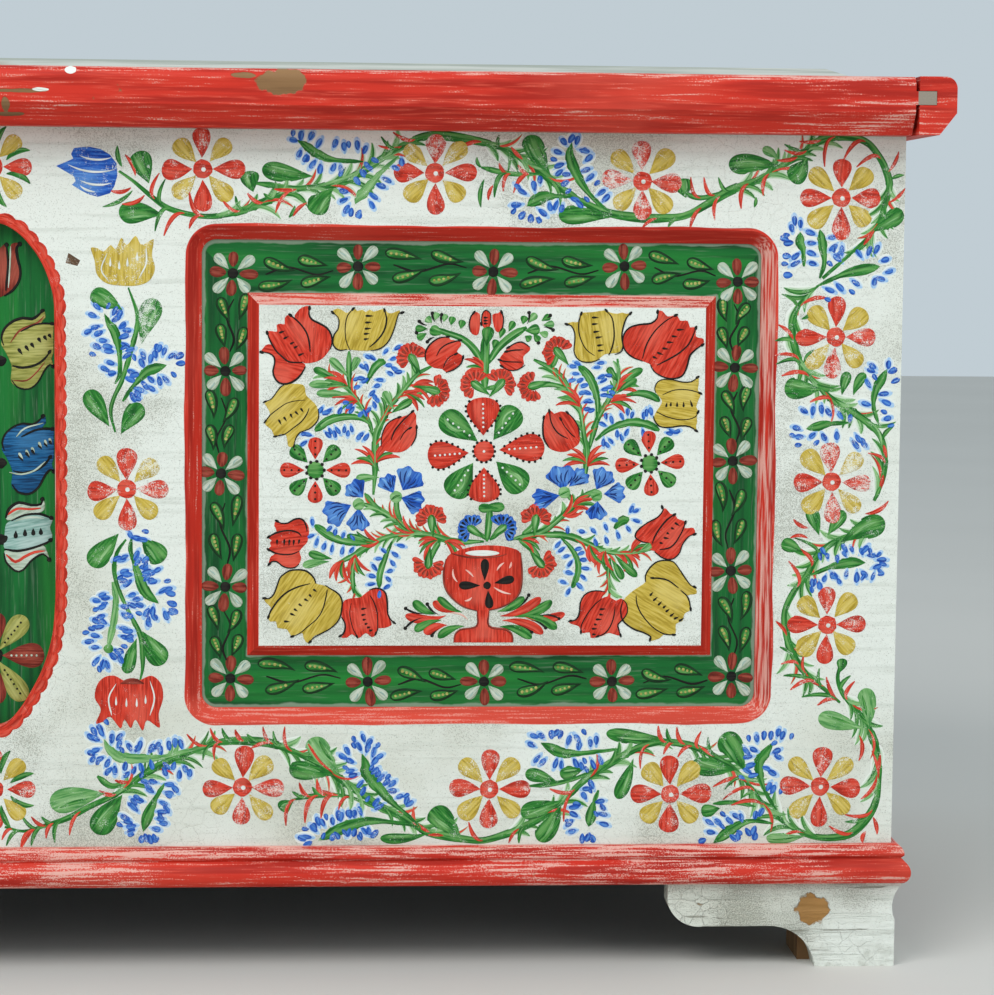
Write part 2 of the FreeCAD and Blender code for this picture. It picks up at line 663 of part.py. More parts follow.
# Feet: at each corner a face bracket, a side bracket behind it, and a glue block in the angle
def bracket(name, outward, flared, turned):
    """A bracket board; its own x runs outward along the wall, and its outer end is at 0."""
    inward = -outward
    rise = "(foot_height - apron_height)"
    nose_rise = "(apron_height - nose_height)"
    flare_x = "flare_out" if flared else "0"
    arch_bend = f"sqrt(arch_run^2 + {rise}^2) * 0.75"
    nose_bend = f"sqrt(nose_run^2 + {nose_rise}^2) * 0.75"
    corners = [
        ("0", "0"), (f"{inward} * leg_width", "0", arch_bend, outward),
        (f"{inward} * (leg_width + arch_run)", rise),
        (f"{inward} * (bracket_length - nose_run)", rise, nose_bend, inward),
        (f"{inward} * bracket_length", f"{rise} + {nose_rise}"),
        (f"{inward} * bracket_length", "foot_height"), (f"{outward} * {flare_x}", "foot_height")]
    if flared:
        flare_bend = "sqrt(flare_out^2 + flare_height^2) * 0.8"
        corners[-1] = corners[-1] + (flare_bend, outward)
        corners.append(("0", "foot_height - flare_height"))
    body = new_body(name)
    sketch = new_sketch(body, name + "Outline", "XZ_Plane")
    outline(sketch, corners)
    pad(body, name + "Pad", sketch, "bracket_thick")
    body.Placement.Rotation = FreeCAD.Rotation(FreeCAD.Vector(0, 0, 1), turned)
    return body


foot_x = "(half_length + foot_proud)"
for side, sign in SIDES:
    outward = int(sign)
    inside_x = f"{sign} * ({foot_x} - bracket_thick)"
    rows = (
        ("front", "(face - foot_proud)", "bracket_thick", "1", -1),
        ("back", "(back + foot_proud)", "0", "-1", 1))
    for row, line, face_shift, into, along in rows:
        face_bracket = bracket(f"FaceBracket_{row}_{side}", outward, True, 0)
        bind(face_bracket, x=f"{sign} * {foot_x}", y=f"{line} + {face_shift}")
        keep(f"foot_{row}_{side}_face", face_bracket)
        butt = f"{line} + {into} * bracket_thick"
        # A quarter turn points the board's own x along +Y, and its thickness towards +X
        side_bracket = bracket(f"SideBracket_{row}_{side}", along, False, 90)
        side_x = f"{foot_x} - bracket_thick" if outward > 0 else f"-{foot_x}"
        bind(side_bracket, x=side_x, y=butt)
        keep(f"foot_{row}_{side}_side", side_bracket)
        block_x = f"{inside_x} - block_size" if outward > 0 else inside_x
        block_y = butt if along < 0 else f"{butt} - block_size"
        keep(f"foot_{row}_{side}_block", board(
            f"FootBlock_{row}_{side}", block_x, block_y, "0", "block_size", "block_size", "foot_height"))


# Lid: a moulded front rail and two planks, whose end tongues lie in the grooved cleats
def edge_profile(width, outward, groove):
    """Corners of the lid's moulded edge, from its inner foot outward; a groove opens its inner side."""
    corners = [
        ("0", "0"), (f"{outward} * ({width} - edge_undercut)", "0"),
        (f"{outward} * {width}", "undercut_rise"),
        (f"{outward} * {width}", "edge_height - edge_round", "edge_round", outward),
        (f"{outward} * ({width} - edge_round)", "edge_height"), ("0", "edge_height")]
    if groove:
        top = "tongue_rise + tongue_thick + groove_clear"
        bottom = "tongue_rise - groove_clear"
        corners += [("0", top), (f"{outward} * groove_depth", top), (f"{outward} * groove_depth", bottom),
                    ("0", bottom)]
    return corners


def end_tongues(name, start, width):
    """The tongues at both ends of a lid board."""
    return [board(
        f"{name}_{side}", beside(sign, "shoulder", "tongue_length"), start, "tongue_bottom",
        "tongue_length", width, "tongue_thick") for side, sign in SIDES]


rail = new_body("Rail")
bind(rail, y="rail_back", z="lid_bottom")
rail_section = new_sketch(rail, "RailSection", "YZ_Plane")
outline(rail_section, edge_profile("rail_depth", -1, False))
pad(rail, "RailPad", rail_section, "2 * shoulder", "Symmetric")

joint_z = "lid_top - lid_thick / 2 - plank_tongue / 2"
lid_joint = "rail_back + lid_plank_depth"
rail_tongue = board(
    "RailTongue", "-shoulder", "rail_back - plank_tongue", joint_z, "2 * shoulder", "plank_tongue", "plank_tongue")
lid_plank_tongue = board(
    "LidPlankTongue", "-shoulder", f"{lid_joint} - plank_tongue", joint_z,
    "2 * shoulder", "plank_tongue", "plank_tongue")

peg_holes = []
pegs = []
for side, sign in SIDES:
    for quarter in (1, 3, 5, 7):
        place = (f"{sign} * peg_line", f"rail_back + lid_plank_depth * {quarter} / 4", "lid_bottom")
        pegs.append(rod(f"Peg_{side}_{quarter}", "z", *place, "peg_radius", "edge_height"))
        peg_holes.append(rod(f"PegHole_{side}_{quarter}", "z", *place, "peg_radius + peg_clear", "edge_height"))
keep("cleat_pegs", joined("CleatPegs", pegs))

rail_whole = joined("RailTongued", [rail] + end_tongues("RailEnd", "lid_front", "rail_depth"))
keep("lid_front_rail", cut("LidFrontRail", rail_whole, [rail_tongue]))
front_board = board(
    "LidFrontBoard", "-shoulder", "rail_back", "rim", "2 * shoulder", "lid_plank_depth", "lid_thick")
back_board = board(
    "LidBackBoard", "-shoulder", lid_joint, "rim", "2 * shoulder", "lid_plank_depth", "lid_thick")
front_whole = joined(
    "LidFrontTongued",
    [front_board, rail_tongue] + end_tongues("LidFrontEnd", "rail_back", "lid_plank_depth"))
back_whole = joined(
    "LidBackTongued",
    [back_board, lid_plank_tongue] + end_tongues("LidBackEnd", lid_joint, "lid_plank_depth"))

# Hinges: a strap let into the underside of the lid, a strap on the back, and a pin between them
lid_strap_beds = []
for side, sign in SIDES:
    hinge_x = f"{sign} * hinge_offset"
    strap_left = f"{hinge_x} - strap_width / 2"
    knuckle_left = f"{hinge_x} - knuckle_width / 2"
    plate = board(
        f"LidStrapPlate_{side}", strap_left, "back - lid_strap_length", "rim",
        "strap_width", "lid_strap_length", "strap_thick")
    lid_strap_beds.append(plate)
    neck = board(
        f"LidStrapNeck_{side}", knuckle_left, "back", "rim", "knuckle_width", "axis_y - back", "strap_thick")
    knuckle = rod(
        f"LidKnuckle_{side}", "x", knuckle_left, "axis_y", "rim", "barrel_radius", "knuckle_width")
    bore = rod(
        f"HingeBore_{side}", "x", strap_left, "axis_y", "rim", "pin_radius + pin_clear", "strap_width")
    keep(f"hinge_{side}_lid_strap", cut(
        f"LidStrap_{side}", joined(f"LidStrapSolid_{side}", [plate, neck, knuckle]), [bore] + lid_nail_holes))

    back_plate = board(
        f"BackStrapPlate_{side}", strap_left, "back", "back_strap_top - back_strap_length",
        "strap_width", "strap_thick", "back_strap_length")
    leaves = []
    for end, leaf_left in (("a", strap_left), ("b", f"{hinge_x} + strap_width / 2 - side_knuckle")):
        leaves.append(board(
            f"BackLeaf_{side}_{end}", leaf_left, "back", "back_strap_top",
            "side_knuckle", "strap_thick", "barrel_radius"))
        leaves.append(rod(
            f"BackKnuckle_{side}_{end}", "x", leaf_left, "axis_y", "rim", "barrel_radius", "side_knuckle"))
    keep(f"hinge_{side}_back_strap", cut(
        f"BackStrap_{side}", joined(f"BackStrapSolid_{side}", [back_plate] + leaves), [bore] + back_nail_holes))
    keep(f"hinge_{side}_pin", rod(
        f"HingePin_{side}", "x", f"{strap_left} - pin_end", "axis_y", "rim",
        "pin_radius", "strap_width + 2 * pin_end"))

# Lock: a sheet case inside the front, a bolt that slides along it, and a staple under the lid
case_block = board(
    "CaseBlock", "-lock_width / 2", "inner_front", "lock_bottom", "lock_width", "lock_depth", "lock_height")
case_ears = board(
    "CaseEars", "-lock_width / 2 - lock_ear", "inner_front", "lock_bottom",
    "lock_width + 2 * lock_ear", "lock_wall", "lock_height")
case_hollow = board(
    "CaseHollow", "lock_wall - lock_width / 2", "inner_front", "lock_bottom + lock_wall",
    "lock_width - 2 * lock_wall", "lock_depth - lock_wall", "lock_height - 2 * lock_wall")
case_guide = board(
    "CaseGuide", "guide - lock_wall", "inner_front", "lock_bottom + lock_wall",
    "lock_wall", "lock_depth - lock_wall", "lock_height - 2 * lock_wall")
bolt_way = board(
    "BoltWay", "-lock_width / 2", "lock_middle - bolt_size / 2 - bolt_clear", "bolt_bottom - bolt_clear",
    "guide + lock_width / 2", "bolt_size + 2 * bolt_clear", "bolt_size + 2 * bolt_clear")
staple_way = board(
    "StapleWay", "staple_offset - staple_thick / 2 - staple_clear",
    "lock_middle - staple_width / 2 - staple_clear", "lock_top - lock_wall",
    "staple_thick + 2 * staple_clear", "staple_width + 2 * staple_clear", "lock_wall")
case_shell = cut("CaseShell", joined("CaseSolid", [case_block, case_ears]), [case_hollow])
keep("lock_case", cut(
    "LockCase", joined("CaseGuided", [case_shell, case_guide]), [bolt_way, staple_way] + lock_nail_holes))

bolt_bar = board(
    "BoltBar", "bolt_tail", "lock_middle - bolt_size / 2", "bolt_bottom", "bolt_length", "bolt_size", "bolt_size")
talon = board(
    "Talon", "-talon_width / 2", "lock_middle - bolt_size / 2", "bolt_bottom",
    "talon_width", "bolt_size", "talon_depth")
keep("lock_bolt", cut("LockBolt", bolt_bar, [talon]))

staple_plate = board(
    "StaplePlate", "staple_offset - plate_length / 2", "lock_middle - plate_width / 2", "plate_bottom",
    "plate_length", "plate_width", "plate_thick")
staple_leg = board(
    "StapleLeg", "staple_offset - staple_thick / 2", "lock_middle - staple_width / 2", "staple_foot",
    "staple_thick", "staple_width", "staple_drop")
staple_eye = board(
    "StapleEye", "staple_offset - staple_thick / 2", "lock_middle - eye_size / 2", "staple_foot + eye_edge",
    "staple_thick", "eye_size", "eye_size")
staple_nails = []
staple_nail_holes = []
for side, sign in SIDES:
    place = (f"staple_offset + {sign} * plate_length / 3", "lock_middle", "plate_bottom")
    staple_nails.append(nail(f"StapleNail_{side}", "z", *place, ("", "", " - nail_dome")))
    staple_nail_holes.append(nail_hole(f"StapleNailHole_{side}", "z", *place))
keep("staple_nails", joined("StapleNails", staple_nails))
keep("lid_staple", cut(
    "LidStaple", joined("StapleSolid", [staple_plate, staple_leg]), [staple_eye] + staple_nail_holes))

keep("lid_plank_front", cut(
    "LidPlankFront", front_whole, [lid_plank_tongue] + peg_holes + staple_nail_holes))
keep("lid_plank_back", cut(
    "LidPlankBack", back_whole, lid_strap_beds + peg_holes + lid_nail_holes))

for side, sign in SIDES:
    cleat = new_body(f"Cleat_{side}")
    bind(cleat, x=f"{sign} * cleat_inner", y="lid_front", z="lid_bottom")
    cleat_section = new_sketch(cleat, f"CleatSection_{side}", "XZ_Plane")
    outline(cleat_section, edge_profile("cleat_width", int(sign), True))
    pad(cleat, f"CleatPad_{side}", cleat_section, "back - lid_front", "One side", True)
    keep(f"lid_cleat_{side}", cut(f"LidCleat_{side}", cleat, peg_holes))

# Raised field on the lid, the same distance in from every edge
field_half_x = "(cleat_outer - lid_field_margin)"
field_half_y = "((back - lid_front) / 2 - lid_field_margin)"
lid_field = wedge(
    "LidField", Xmin="-" + field_half_x, Xmax=field_half_x,
    X2min=f"lid_field_slope - {field_half_x}", X2max=f"{field_half_x} - lid_field_slope",
    Zmin="-" + field_half_y, Zmax=field_half_y,
    Z2min=f"lid_field_slope - {field_half_y}", Z2max=f"{field_half_y} - lid_field_slope",
    Ymin="0", Ymax="lid_field_thick")
lid_field.Placement.Rotation = ALONG["-y"]
bind(lid_field, y="(lid_front + back) / 2", z="lid_top")
keep("lid_field", lid_field)

# Nothing is written unless every piece came out whole
doc.recompute()
failed = [made.Name for made in doc.Objects if {"Invalid", "Error"} & set(made.State)]
if failed:
    raise RuntimeError("these did not come out: " + ", ".join(failed))
for made in sub_parts:
    if made.Shape.isNull() or not made.Shape.isValid() or not made.Shape.Solids:
        raise RuntimeError(made.Label + " is not a sound solid")

os.makedirs("parts", exist_ok=True)
for made in sub_parts:
    made.Shape.exportStep(os.path.join("parts", made.Label + ".step"))
    box = made.Shape.BoundBox
    print(f"{made.Label}: {len(made.Shape.Solids)} solids, {made.Shape.Volume / 1000:.1f} cm3, "
          f"x {box.XMin:.1f} {box.XMax:.1f}, y {box.YMin:.1f} {box.YMax:.1f}, z {box.ZMin:.1f} {box.ZMax:.1f}")
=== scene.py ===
"""Looks of a painted dowry chest: worn paint, brush strokes laid as thin ribbons, bare wood and iron."""
import bmesh
import bpy
import math
import random
from mathutils import Matrix, Vector


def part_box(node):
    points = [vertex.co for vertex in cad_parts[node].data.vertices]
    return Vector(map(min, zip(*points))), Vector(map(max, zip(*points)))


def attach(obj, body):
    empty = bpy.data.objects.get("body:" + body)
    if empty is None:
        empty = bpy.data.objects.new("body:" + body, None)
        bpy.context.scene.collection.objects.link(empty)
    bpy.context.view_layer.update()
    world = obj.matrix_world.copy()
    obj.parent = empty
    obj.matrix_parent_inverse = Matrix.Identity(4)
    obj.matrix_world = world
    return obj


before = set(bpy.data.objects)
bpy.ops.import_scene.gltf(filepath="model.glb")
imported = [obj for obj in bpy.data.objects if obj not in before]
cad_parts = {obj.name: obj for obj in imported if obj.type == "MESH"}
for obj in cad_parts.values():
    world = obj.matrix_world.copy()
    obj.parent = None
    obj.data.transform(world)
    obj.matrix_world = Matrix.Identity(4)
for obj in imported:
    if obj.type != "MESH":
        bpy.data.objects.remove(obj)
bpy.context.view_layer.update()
MM = 0.001
dice = random.Random(11)


def box_mm(node):
    """Lowest and highest corner of a node, in millimetres."""
    low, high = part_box(node)
    return [number / MM for number in low], [number / MM for number in high]


# Places read from the frame, in millimetres
overlay_low, overlay_high = box_mm("front_overlay")
field_low, field_high = box_mm("field_right")
plank_low = box_mm("front_plank")[0]
side_low, side_high = box_mm("side_board_right")
rail_high = box_mm("lid_front_rail")[1]
base_high = box_mm("base_moulding_front")[1]
cleat_low = box_mm("lid_cleat_right")[0]
FACE_Y = overlay_low[1]
PLANK_Y = plank_low[1]
FIELD_Y = field_low[1]
SIDE_X = side_high[0]
PANEL_X = (field_low[0] + field_high[0]) / 2
PANEL_Z = (field_low[2] + field_high[2]) / 2
FIELD_HALF = ((field_high[0] - field_low[0]) / 2, (field_high[2] - field_low[2]) / 2)
BAND_WIDTH = 31
BAND_RISE = 36
OPENING_HALF = (FIELD_HALF[0] + BAND_WIDTH, FIELD_HALF[1] + BAND_RISE)
OPENING_CORNER = 10


# Colours, each as the eye sees it: red, green and blue from 0 to 255
def colour_of(red, green, blue):
    """A colour in the shader's own linear numbers."""
    def linear(part):
        part = part / 255
        return part / 12.92 if part <= 0.04045 else ((part + 0.055) / 1.055) ** 2.4
    return (linear(red), linear(green), linear(blue), 1.0)


WHITE = colour_of(232, 236, 227)
WHITE_WARM = colour_of(206, 207, 190)
WHITE_GREY = colour_of(198, 203, 192)
SPECK = colour_of(140, 140, 124)
CRACK = colour_of(150, 147, 130)
RED = colour_of(208, 50, 34)
RED_DARK = colour_of(172, 36, 24)
RED_LIGHT = colour_of(228, 92, 72)
# Pale pink of rubbed red paint, also used as a painted highlight on red faces turned to the left
RED_WORN_AND_HIGHLIGHT = colour_of(231, 186, 172)
GREEN = colour_of(20, 106, 46)
GREEN_DARK = colour_of(12, 72, 34)
GREEN_LIGHT = colour_of(40, 140, 52)
GREEN_WORN = colour_of(140, 158, 136)
WOOD = colour_of(158, 120, 80)
WOOD_DARK = colour_of(104, 74, 46)
WOOD_LIGHT = colour_of(188, 152, 108)
WOOD_FRESH = colour_of(184, 134, 64)
WOOD_GREY = colour_of(150, 140, 126)
IRON = colour_of(52, 49, 47)
IRON_DARK = colour_of(30, 28, 27)
RUST = colour_of(92, 58, 38)

# Darker, main and lighter tone of each brush colour
PAINTS = {
    "red": (colour_of(164, 38, 22), colour_of(214, 58, 38), colour_of(228, 104, 84)),
    "dark_red": (colour_of(96, 30, 20), colour_of(136, 50, 36), colour_of(178, 90, 72)),
    "gold": (colour_of(168, 142, 44), colour_of(204, 178, 74), colour_of(222, 202, 118)),
    "dark_leaf": (colour_of(10, 40, 18), colour_of(18, 56, 26), colour_of(34, 78, 40)),
    "leaf": (colour_of(20, 86, 30), colour_of(44, 128, 46), colour_of(126, 180, 104)),
    "pale_leaf": (colour_of(66, 134, 68), colour_of(112, 168, 98), colour_of(164, 204, 146)),
    "blue": (colour_of(18, 62, 150), colour_of(38, 98, 194), colour_of(112, 166, 222)),
    "deep_blue": (colour_of(12, 52, 88), colour_of(20, 90, 140), colour_of(66, 128, 174)),
    "black": (colour_of(10, 10, 9), colour_of(20, 19, 16), colour_of(44, 42, 36)),
    "white": (colour_of(196, 202, 192), colour_of(226, 230, 222), colour_of(240, 242, 238)),
    "dim_white": (colour_of(138, 158, 134), colour_of(184, 198, 178), colour_of(214, 224, 210)),
    "olive": (colour_of(118, 122, 52), colour_of(164, 162, 84), colour_of(196, 194, 122)),
    "green_wash": (colour_of(146, 188, 136), colour_of(174, 208, 164), colour_of(200, 222, 192)),
    "blue_wash": (colour_of(136, 178, 222), colour_of(166, 200, 232), colour_of(196, 218, 238)),
    "pale_grey": (colour_of(112, 150, 140), colour_of(150, 184, 174), colour_of(196, 214, 208)),
    "pale_red": (colour_of(226, 150, 132), colour_of(238, 190, 176), colour_of(246, 216, 206)),
    "navy": (colour_of(12, 30, 84), colour_of(18, 44, 110), colour_of(40, 78, 150)),
    "sky": (colour_of(72, 130, 206), colour_of(104, 160, 220), colour_of(150, 194, 232)),
    "wood": (colour_of(70, 52, 38), colour_of(98, 74, 54), colour_of(128, 100, 76)),
}
WASHES = ("green_wash", "blue_wash")
GROUNDS = {"white_ground": WHITE, "green_ground": GREEN}


class Graph:
    """Short calls for the nodes of one material."""

    def __init__(self, name):
        self.material = bpy.data.materials.new(name)
        self.material.use_nodes = True
        self.nodes = self.material.node_tree.nodes
        self.links = self.material.node_tree.links
        self.shader = self.nodes["Principled BSDF"]
        self.spot = None

    def put(self, socket, content):
        """Joins a socket to another one, or gives it a plain number or colour."""
        if isinstance(content, bpy.types.NodeSocket):
            self.links.new(content, socket)
        else:
            socket.default_value = content

    def add(self, kind, contents=(), **settings):
        """A node with its settings, and its inputs by name or number."""
        node = self.nodes.new("ShaderNode" + kind)
        for name, setting in settings.items():
            setattr(node, name, setting)
        for name, content in dict(contents).items():
            self.put(node.inputs[name], content)
        return node

    def place(self):
        """The point's place in the chest's own frame, in metres, which moves with the piece."""
        if self.spot is None:
            self.spot = self.add("TexCoord")
        return self.spot.outputs["Object"]

    def facing(self):
        """The way the surface faces, as x, y and z."""
        self.place()
        return self.add("SeparateXYZ", {0: self.spot.outputs["Normal"]}).outputs

    def axes(self):
        """The point's x, y and z, in millimetres."""
        scaled = self.add("VectorMath", {0: self.place(), "Scale": 1 / MM}, operation="SCALE")
        return self.add("SeparateXYZ", {0: scaled.outputs[0]}).outputs

    def math(self, operation, first, second=0.0, clamp=False):
        """One sum, product or other operation on two numbers."""
        return self.add("Math", {0: first, 1: second}, operation=operation, use_clamp=clamp).outputs[0]

    def ramp(self, content, low, high):
        """0 below low, 1 above high, smooth between; low may be the larger one."""
        node = self.add("MapRange", {"Value": content, 1: low, 2: high}, interpolation_type="SMOOTHSTEP")
        return node.outputs[0]

    def noise(self, scale, detail=3.0, stretch=(1, 1, 1), start=None):
        """A cloud of values round a half; stretch under 1 draws it out along that axis."""
        start = self.place() if start is None else start
        spread = self.add("VectorMath", {0: start, 1: stretch}, operation="MULTIPLY")
        return self.add("TexNoise",
                        {"Vector": spread.outputs[0], "Scale": scale, "Detail": detail}).outputs[0]

    def mix(self, share, first, second):
        """Between two colours."""
        node = self.add("Mix", {0: share, 6: first, 7: second}, data_type="RGBA")
        return node.outputs[2]

    def blend(self, share, first, second):
        """Between two plain numbers."""
        return self.add("Mix", {0: share, 2: first, 3: second}, data_type="FLOAT").outputs[0]

    def both(self, first, second):
        """The product: high only where both masks are."""
        return self.math("MULTIPLY", first, second)

    def either(self, first, second):
        """The larger one: high where either mask is."""
        return self.math("MAXIMUM", first, second)

    def total(self, *parts):
        """The sum of several numbers."""
        found = parts[0]
        for part in parts[1:]:
            found = self.math("ADD", found, part)
        return found

    def oval(self, place, reach):
        """1 inside a ragged oval at a place on the front, in millimetres."""
        rough = 1.2
        x, _, z = self.axes()
        over_x = self.math("DIVIDE", self.math("SUBTRACT", x, place[0]), reach[0])
        over_z = self.math("DIVIDE", self.math("SUBTRACT", z, place[1]), reach[1])
        far = self.math("SQRT", self.total(self.both(over_x, over_x), self.both(over_z, over_z)))
        ragged = self.both(self.math("SUBTRACT", self.noise(120.0, 5.0), 0.5), rough)
        return self.ramp(self.math("ADD", far, ragged), 1.06, 0.94)

    def bump(self, height, depth):
        """Small relief, its depth in metres."""
        node = self.add("Bump", {"Height": height, "Distance": depth, "Strength": 1.0})
        self.put(self.shader.inputs["Normal"], node.outputs[0])

    def finish(self, colour, roughness):
        """The material, with its colour and roughness joined to the shader."""
        gloss = 0.2
        self.put(self.shader.inputs["Base Color"], colour)
        self.put(self.shader.inputs["Roughness"], roughness)
        self.put(self.shader.inputs["Specular IOR Level"], gloss)
        return self.material


# How brush lines and grain are drawn out along each axis
ALONG = {"x": (0.05, 1, 1), "y": (1, 0.05, 1), "z": (1, 1, 0.05)}
# Parts of a surface's normal: beyond TURNED it faces that way, above FLAT_FRONT it slopes away from the front
TURNED = 0.5
FLAT_FRONT = -0.93
# Depth of brush lines and of wood grain, in metres
BRUSH_RELIEF = 0.00012
WOOD_RELIEF = 0.0002


def white_coat(graph, along, dirt=1.0):
    """Off-white paint: warm stains, brush lines, faint cracks and grey specks where it is rubbed."""
    stain = graph.ramp(graph.noise(5.0, 5.0), 0.46, 0.7)
    lines = graph.ramp(graph.noise(240.0, 4.0, ALONG[along]), 0.5, 0.72)
    rubbed = graph.ramp(graph.noise(10.0, 5.0), 0.48, 0.64)
    grain = graph.noise(1600.0, 2.0)
    specks = graph.ramp(graph.math("ADD", grain, graph.both(rubbed, 0.12)), 0.61, 0.70)
    wander = graph.add("TexNoise", {"Vector": graph.place(), "Scale": 60.0}).outputs["Color"]
    bend = (0.012, 0.012, 0.012)
    crooked = graph.add("VectorMath", {0: wander, 1: bend, 2: graph.place()}, operation="MULTIPLY_ADD")
    cells = graph.add("TexVoronoi", {"Vector": crooked.outputs[0], "Scale": 75.0}, feature="DISTANCE_TO_EDGE")
    cracks = graph.both(graph.ramp(cells.outputs[0], 0.03, 0.006),
                        graph.ramp(graph.noise(7.0, 3.0), 0.46, 0.62))
    colour = graph.mix(graph.both(stain, 0.75 * dirt), WHITE, WHITE_WARM)
    colour = graph.mix(graph.both(lines, 0.4), colour, WHITE_GREY)
    colour = graph.mix(graph.both(specks, 0.6 * dirt), colour, SPECK)
    colour = graph.mix(graph.both(cracks, 0.12 * dirt), colour, CRACK)
    return colour, graph.math("SUBTRACT", lines, graph.total(cracks, specks))


def red_coat(graph, along, worn):
    """Red paint in fine brush lines, paled to pink where the mask worn is high: rubbing, and on some pieces
    painted light on faces turned up.
    """
    lines = graph.noise(150.0, 5.0, ALONG[along])
    fine = graph.noise(600.0, 3.0, ALONG[along])
    grain = graph.noise(1300.0, 2.0)
    cloud = graph.noise(9.0, 4.0)
    colour = graph.mix(graph.ramp(lines, 0.36, 0.58), RED_DARK, RED)
    colour = graph.mix(graph.both(graph.ramp(fine, 0.5, 0.72), 0.6), colour, RED_LIGHT)
    colour = graph.mix(graph.both(graph.ramp(cloud, 0.48, 0.75), 0.4), colour, RED_LIGHT)
    rubs = graph.total(graph.both(fine, 0.5), graph.both(grain, 0.35), graph.both(lines, 0.25))
    rubbed = graph.ramp(graph.math("ADD", rubs, graph.both(worn, 0.14)), 0.65, 0.72)
    return graph.mix(graph.both(rubbed, 0.8), colour, RED_WORN_AND_HIGHLIGHT), fine


def bare_wood(graph, along):
    """Old softwood: drawn-out grain with darker lines and a slow change of tone."""
    grain = graph.noise(46.0, 6.0, ALONG[along])
    rings = graph.noise(13.0, 3.0, ALONG[along])
    fine = graph.noise(330.0, 3.0, ALONG[along])
    colour = graph.mix(graph.ramp(rings, 0.36, 0.64), WOOD_DARK, WOOD)
    colour = graph.mix(graph.both(graph.ramp(grain, 0.5, 0.72), 0.7), colour, WOOD_LIGHT)
    colour = graph.mix(graph.both(graph.ramp(fine, 0.5, 0.72), 0.45), colour, WOOD_DARK)
    return colour, grain


def frame_distance(graph, half_x, half_z, corner):
    """Millimetres outside a rounded frame round the middle of either panel, negative inside it.

    The second result is 1 beside the frame and 0 above and below it.
    """
    x, _, z = graph.axes()
    across = graph.math("ABSOLUTE", graph.math("SUBTRACT", graph.math("ABSOLUTE", x), PANEL_X))
    upward = graph.math("ABSOLUTE", graph.math("SUBTRACT", z, PANEL_Z))
    over_x = graph.math("SUBTRACT", across, half_x - corner)
    over_z = graph.math("SUBTRACT", upward, half_z - corner)
    out_x = graph.math("MAXIMUM", over_x, 0.0)
    out_z = graph.math("MAXIMUM", over_z, 0.0)
    outside = graph.math("SQRT", graph.math("ADD", graph.both(out_x, out_x), graph.both(out_z, out_z)))
    inside = graph.math("MINIMUM", graph.math("MAXIMUM", over_x, over_z), 0.0)
    steep = graph.math("GREATER_THAN", over_x, over_z)
    return graph.math("SUBTRACT", graph.math("ADD", outside, inside), corner), steep


def two_ways(graph, share, make):
    """A coat whose brush lines run upward where share is 1 and across where it is 0."""
    level, level_lines = make("x")
    upright, upright_lines = make("z")
    return graph.mix(share, level, upright), graph.blend(share, level_lines, upright_lines)


def overlay_paint():
    """White front with red stripes round the panels and on the medallion's bevel; the red slopes carry
    painted light and shade.
    """
    stripe_width = 10.5
    stripe_wobble = 6.0
    medallion_reach = 60.0
    medallion_top = 530.0
    lit_and_rubbed_reach = 12
    bottom = PANEL_Z - OPENING_HALF[1]
    graph = Graph("front_white_and_red")
    distance, steep = frame_distance(graph, *OPENING_HALF, OPENING_CORNER)
    wobble = graph.both(graph.math("SUBTRACT", graph.noise(11.0, 3.0), 0.5), stripe_wobble)
    stripe = graph.ramp(graph.math("ADD", distance, wobble), stripe_width + 0.3, stripe_width - 0.3)
    x, _, z = graph.axes()
    nx, ny, nz = graph.facing()
    near_middle = graph.math("LESS_THAN", graph.math("ABSOLUTE", x), medallion_reach)
    sloping = graph.math("GREATER_THAN", ny, FLAT_FRONT)
    near_middle = graph.both(near_middle, graph.math("LESS_THAN", z, medallion_top))
    red_mask = graph.either(stripe, graph.both(near_middle, sloping))
    # Painted light and rubbing both: the red round the bottom of the opening, where its slope faces up, is
    # made lighter and paler.
    lit_and_rubbed_low_edge = graph.both(graph.ramp(z, bottom + lit_and_rubbed_reach, bottom), 0.55)
    worn = graph.either(graph.both(graph.ramp(graph.noise(5.0, 3.0), 0.45, 0.7), 0.5), lit_and_rubbed_low_edge)
    red, red_lines = two_ways(graph, steep, lambda along: red_coat(graph, along, worn))
    red = graph.mix(graph.both(lit_and_rubbed_low_edge, 0.9), red, RED_LIGHT)
    # Painted shade: red faces that turn downward are darkened.
    red = graph.mix(graph.both(graph.ramp(nz, -0.2, -0.6), 0.45), red, RED_DARK)
    # Painted highlight: red faces that turn to the left are paled along their brush lines.
    red = graph.mix(graph.both(graph.both(graph.ramp(nx, -0.2, -0.6), graph.ramp(red_lines, 0.4, 0.6)),
                               0.7), red, RED_WORN_AND_HIGHLIGHT)
    white, white_lines = white_coat(graph, "x")
    graph.bump(graph.blend(red_mask, white_lines, red_lines), BRUSH_RELIEF)
    return graph.finish(graph.mix(red_mask, white, red), 0.55)


def field_paint():
    """White field whose sloping edges are red, paler where they face up."""
    graph = Graph("field_white_and_red")
    nx, ny, nz = graph.facing()
    sloping = graph.math("GREATER_THAN", ny, FLAT_FRONT)
    steep = graph.math("GREATER_THAN", graph.math("ABSOLUTE", nx), graph.math("ABSOLUTE", nz))
    # Red faces that turn upward are paled: rubbing, and painted light from above.
    worn = graph.ramp(nz, 0.2, 0.6)
    red, red_lines = two_ways(graph, steep, lambda along: red_coat(graph, along, worn))
    white, white_lines = white_coat(graph, "x", 0.8)
    graph.bump(graph.blend(sloping, white_lines, red_lines), BRUSH_RELIEF)
    return graph.finish(graph.mix(sloping, white, red), 0.55)


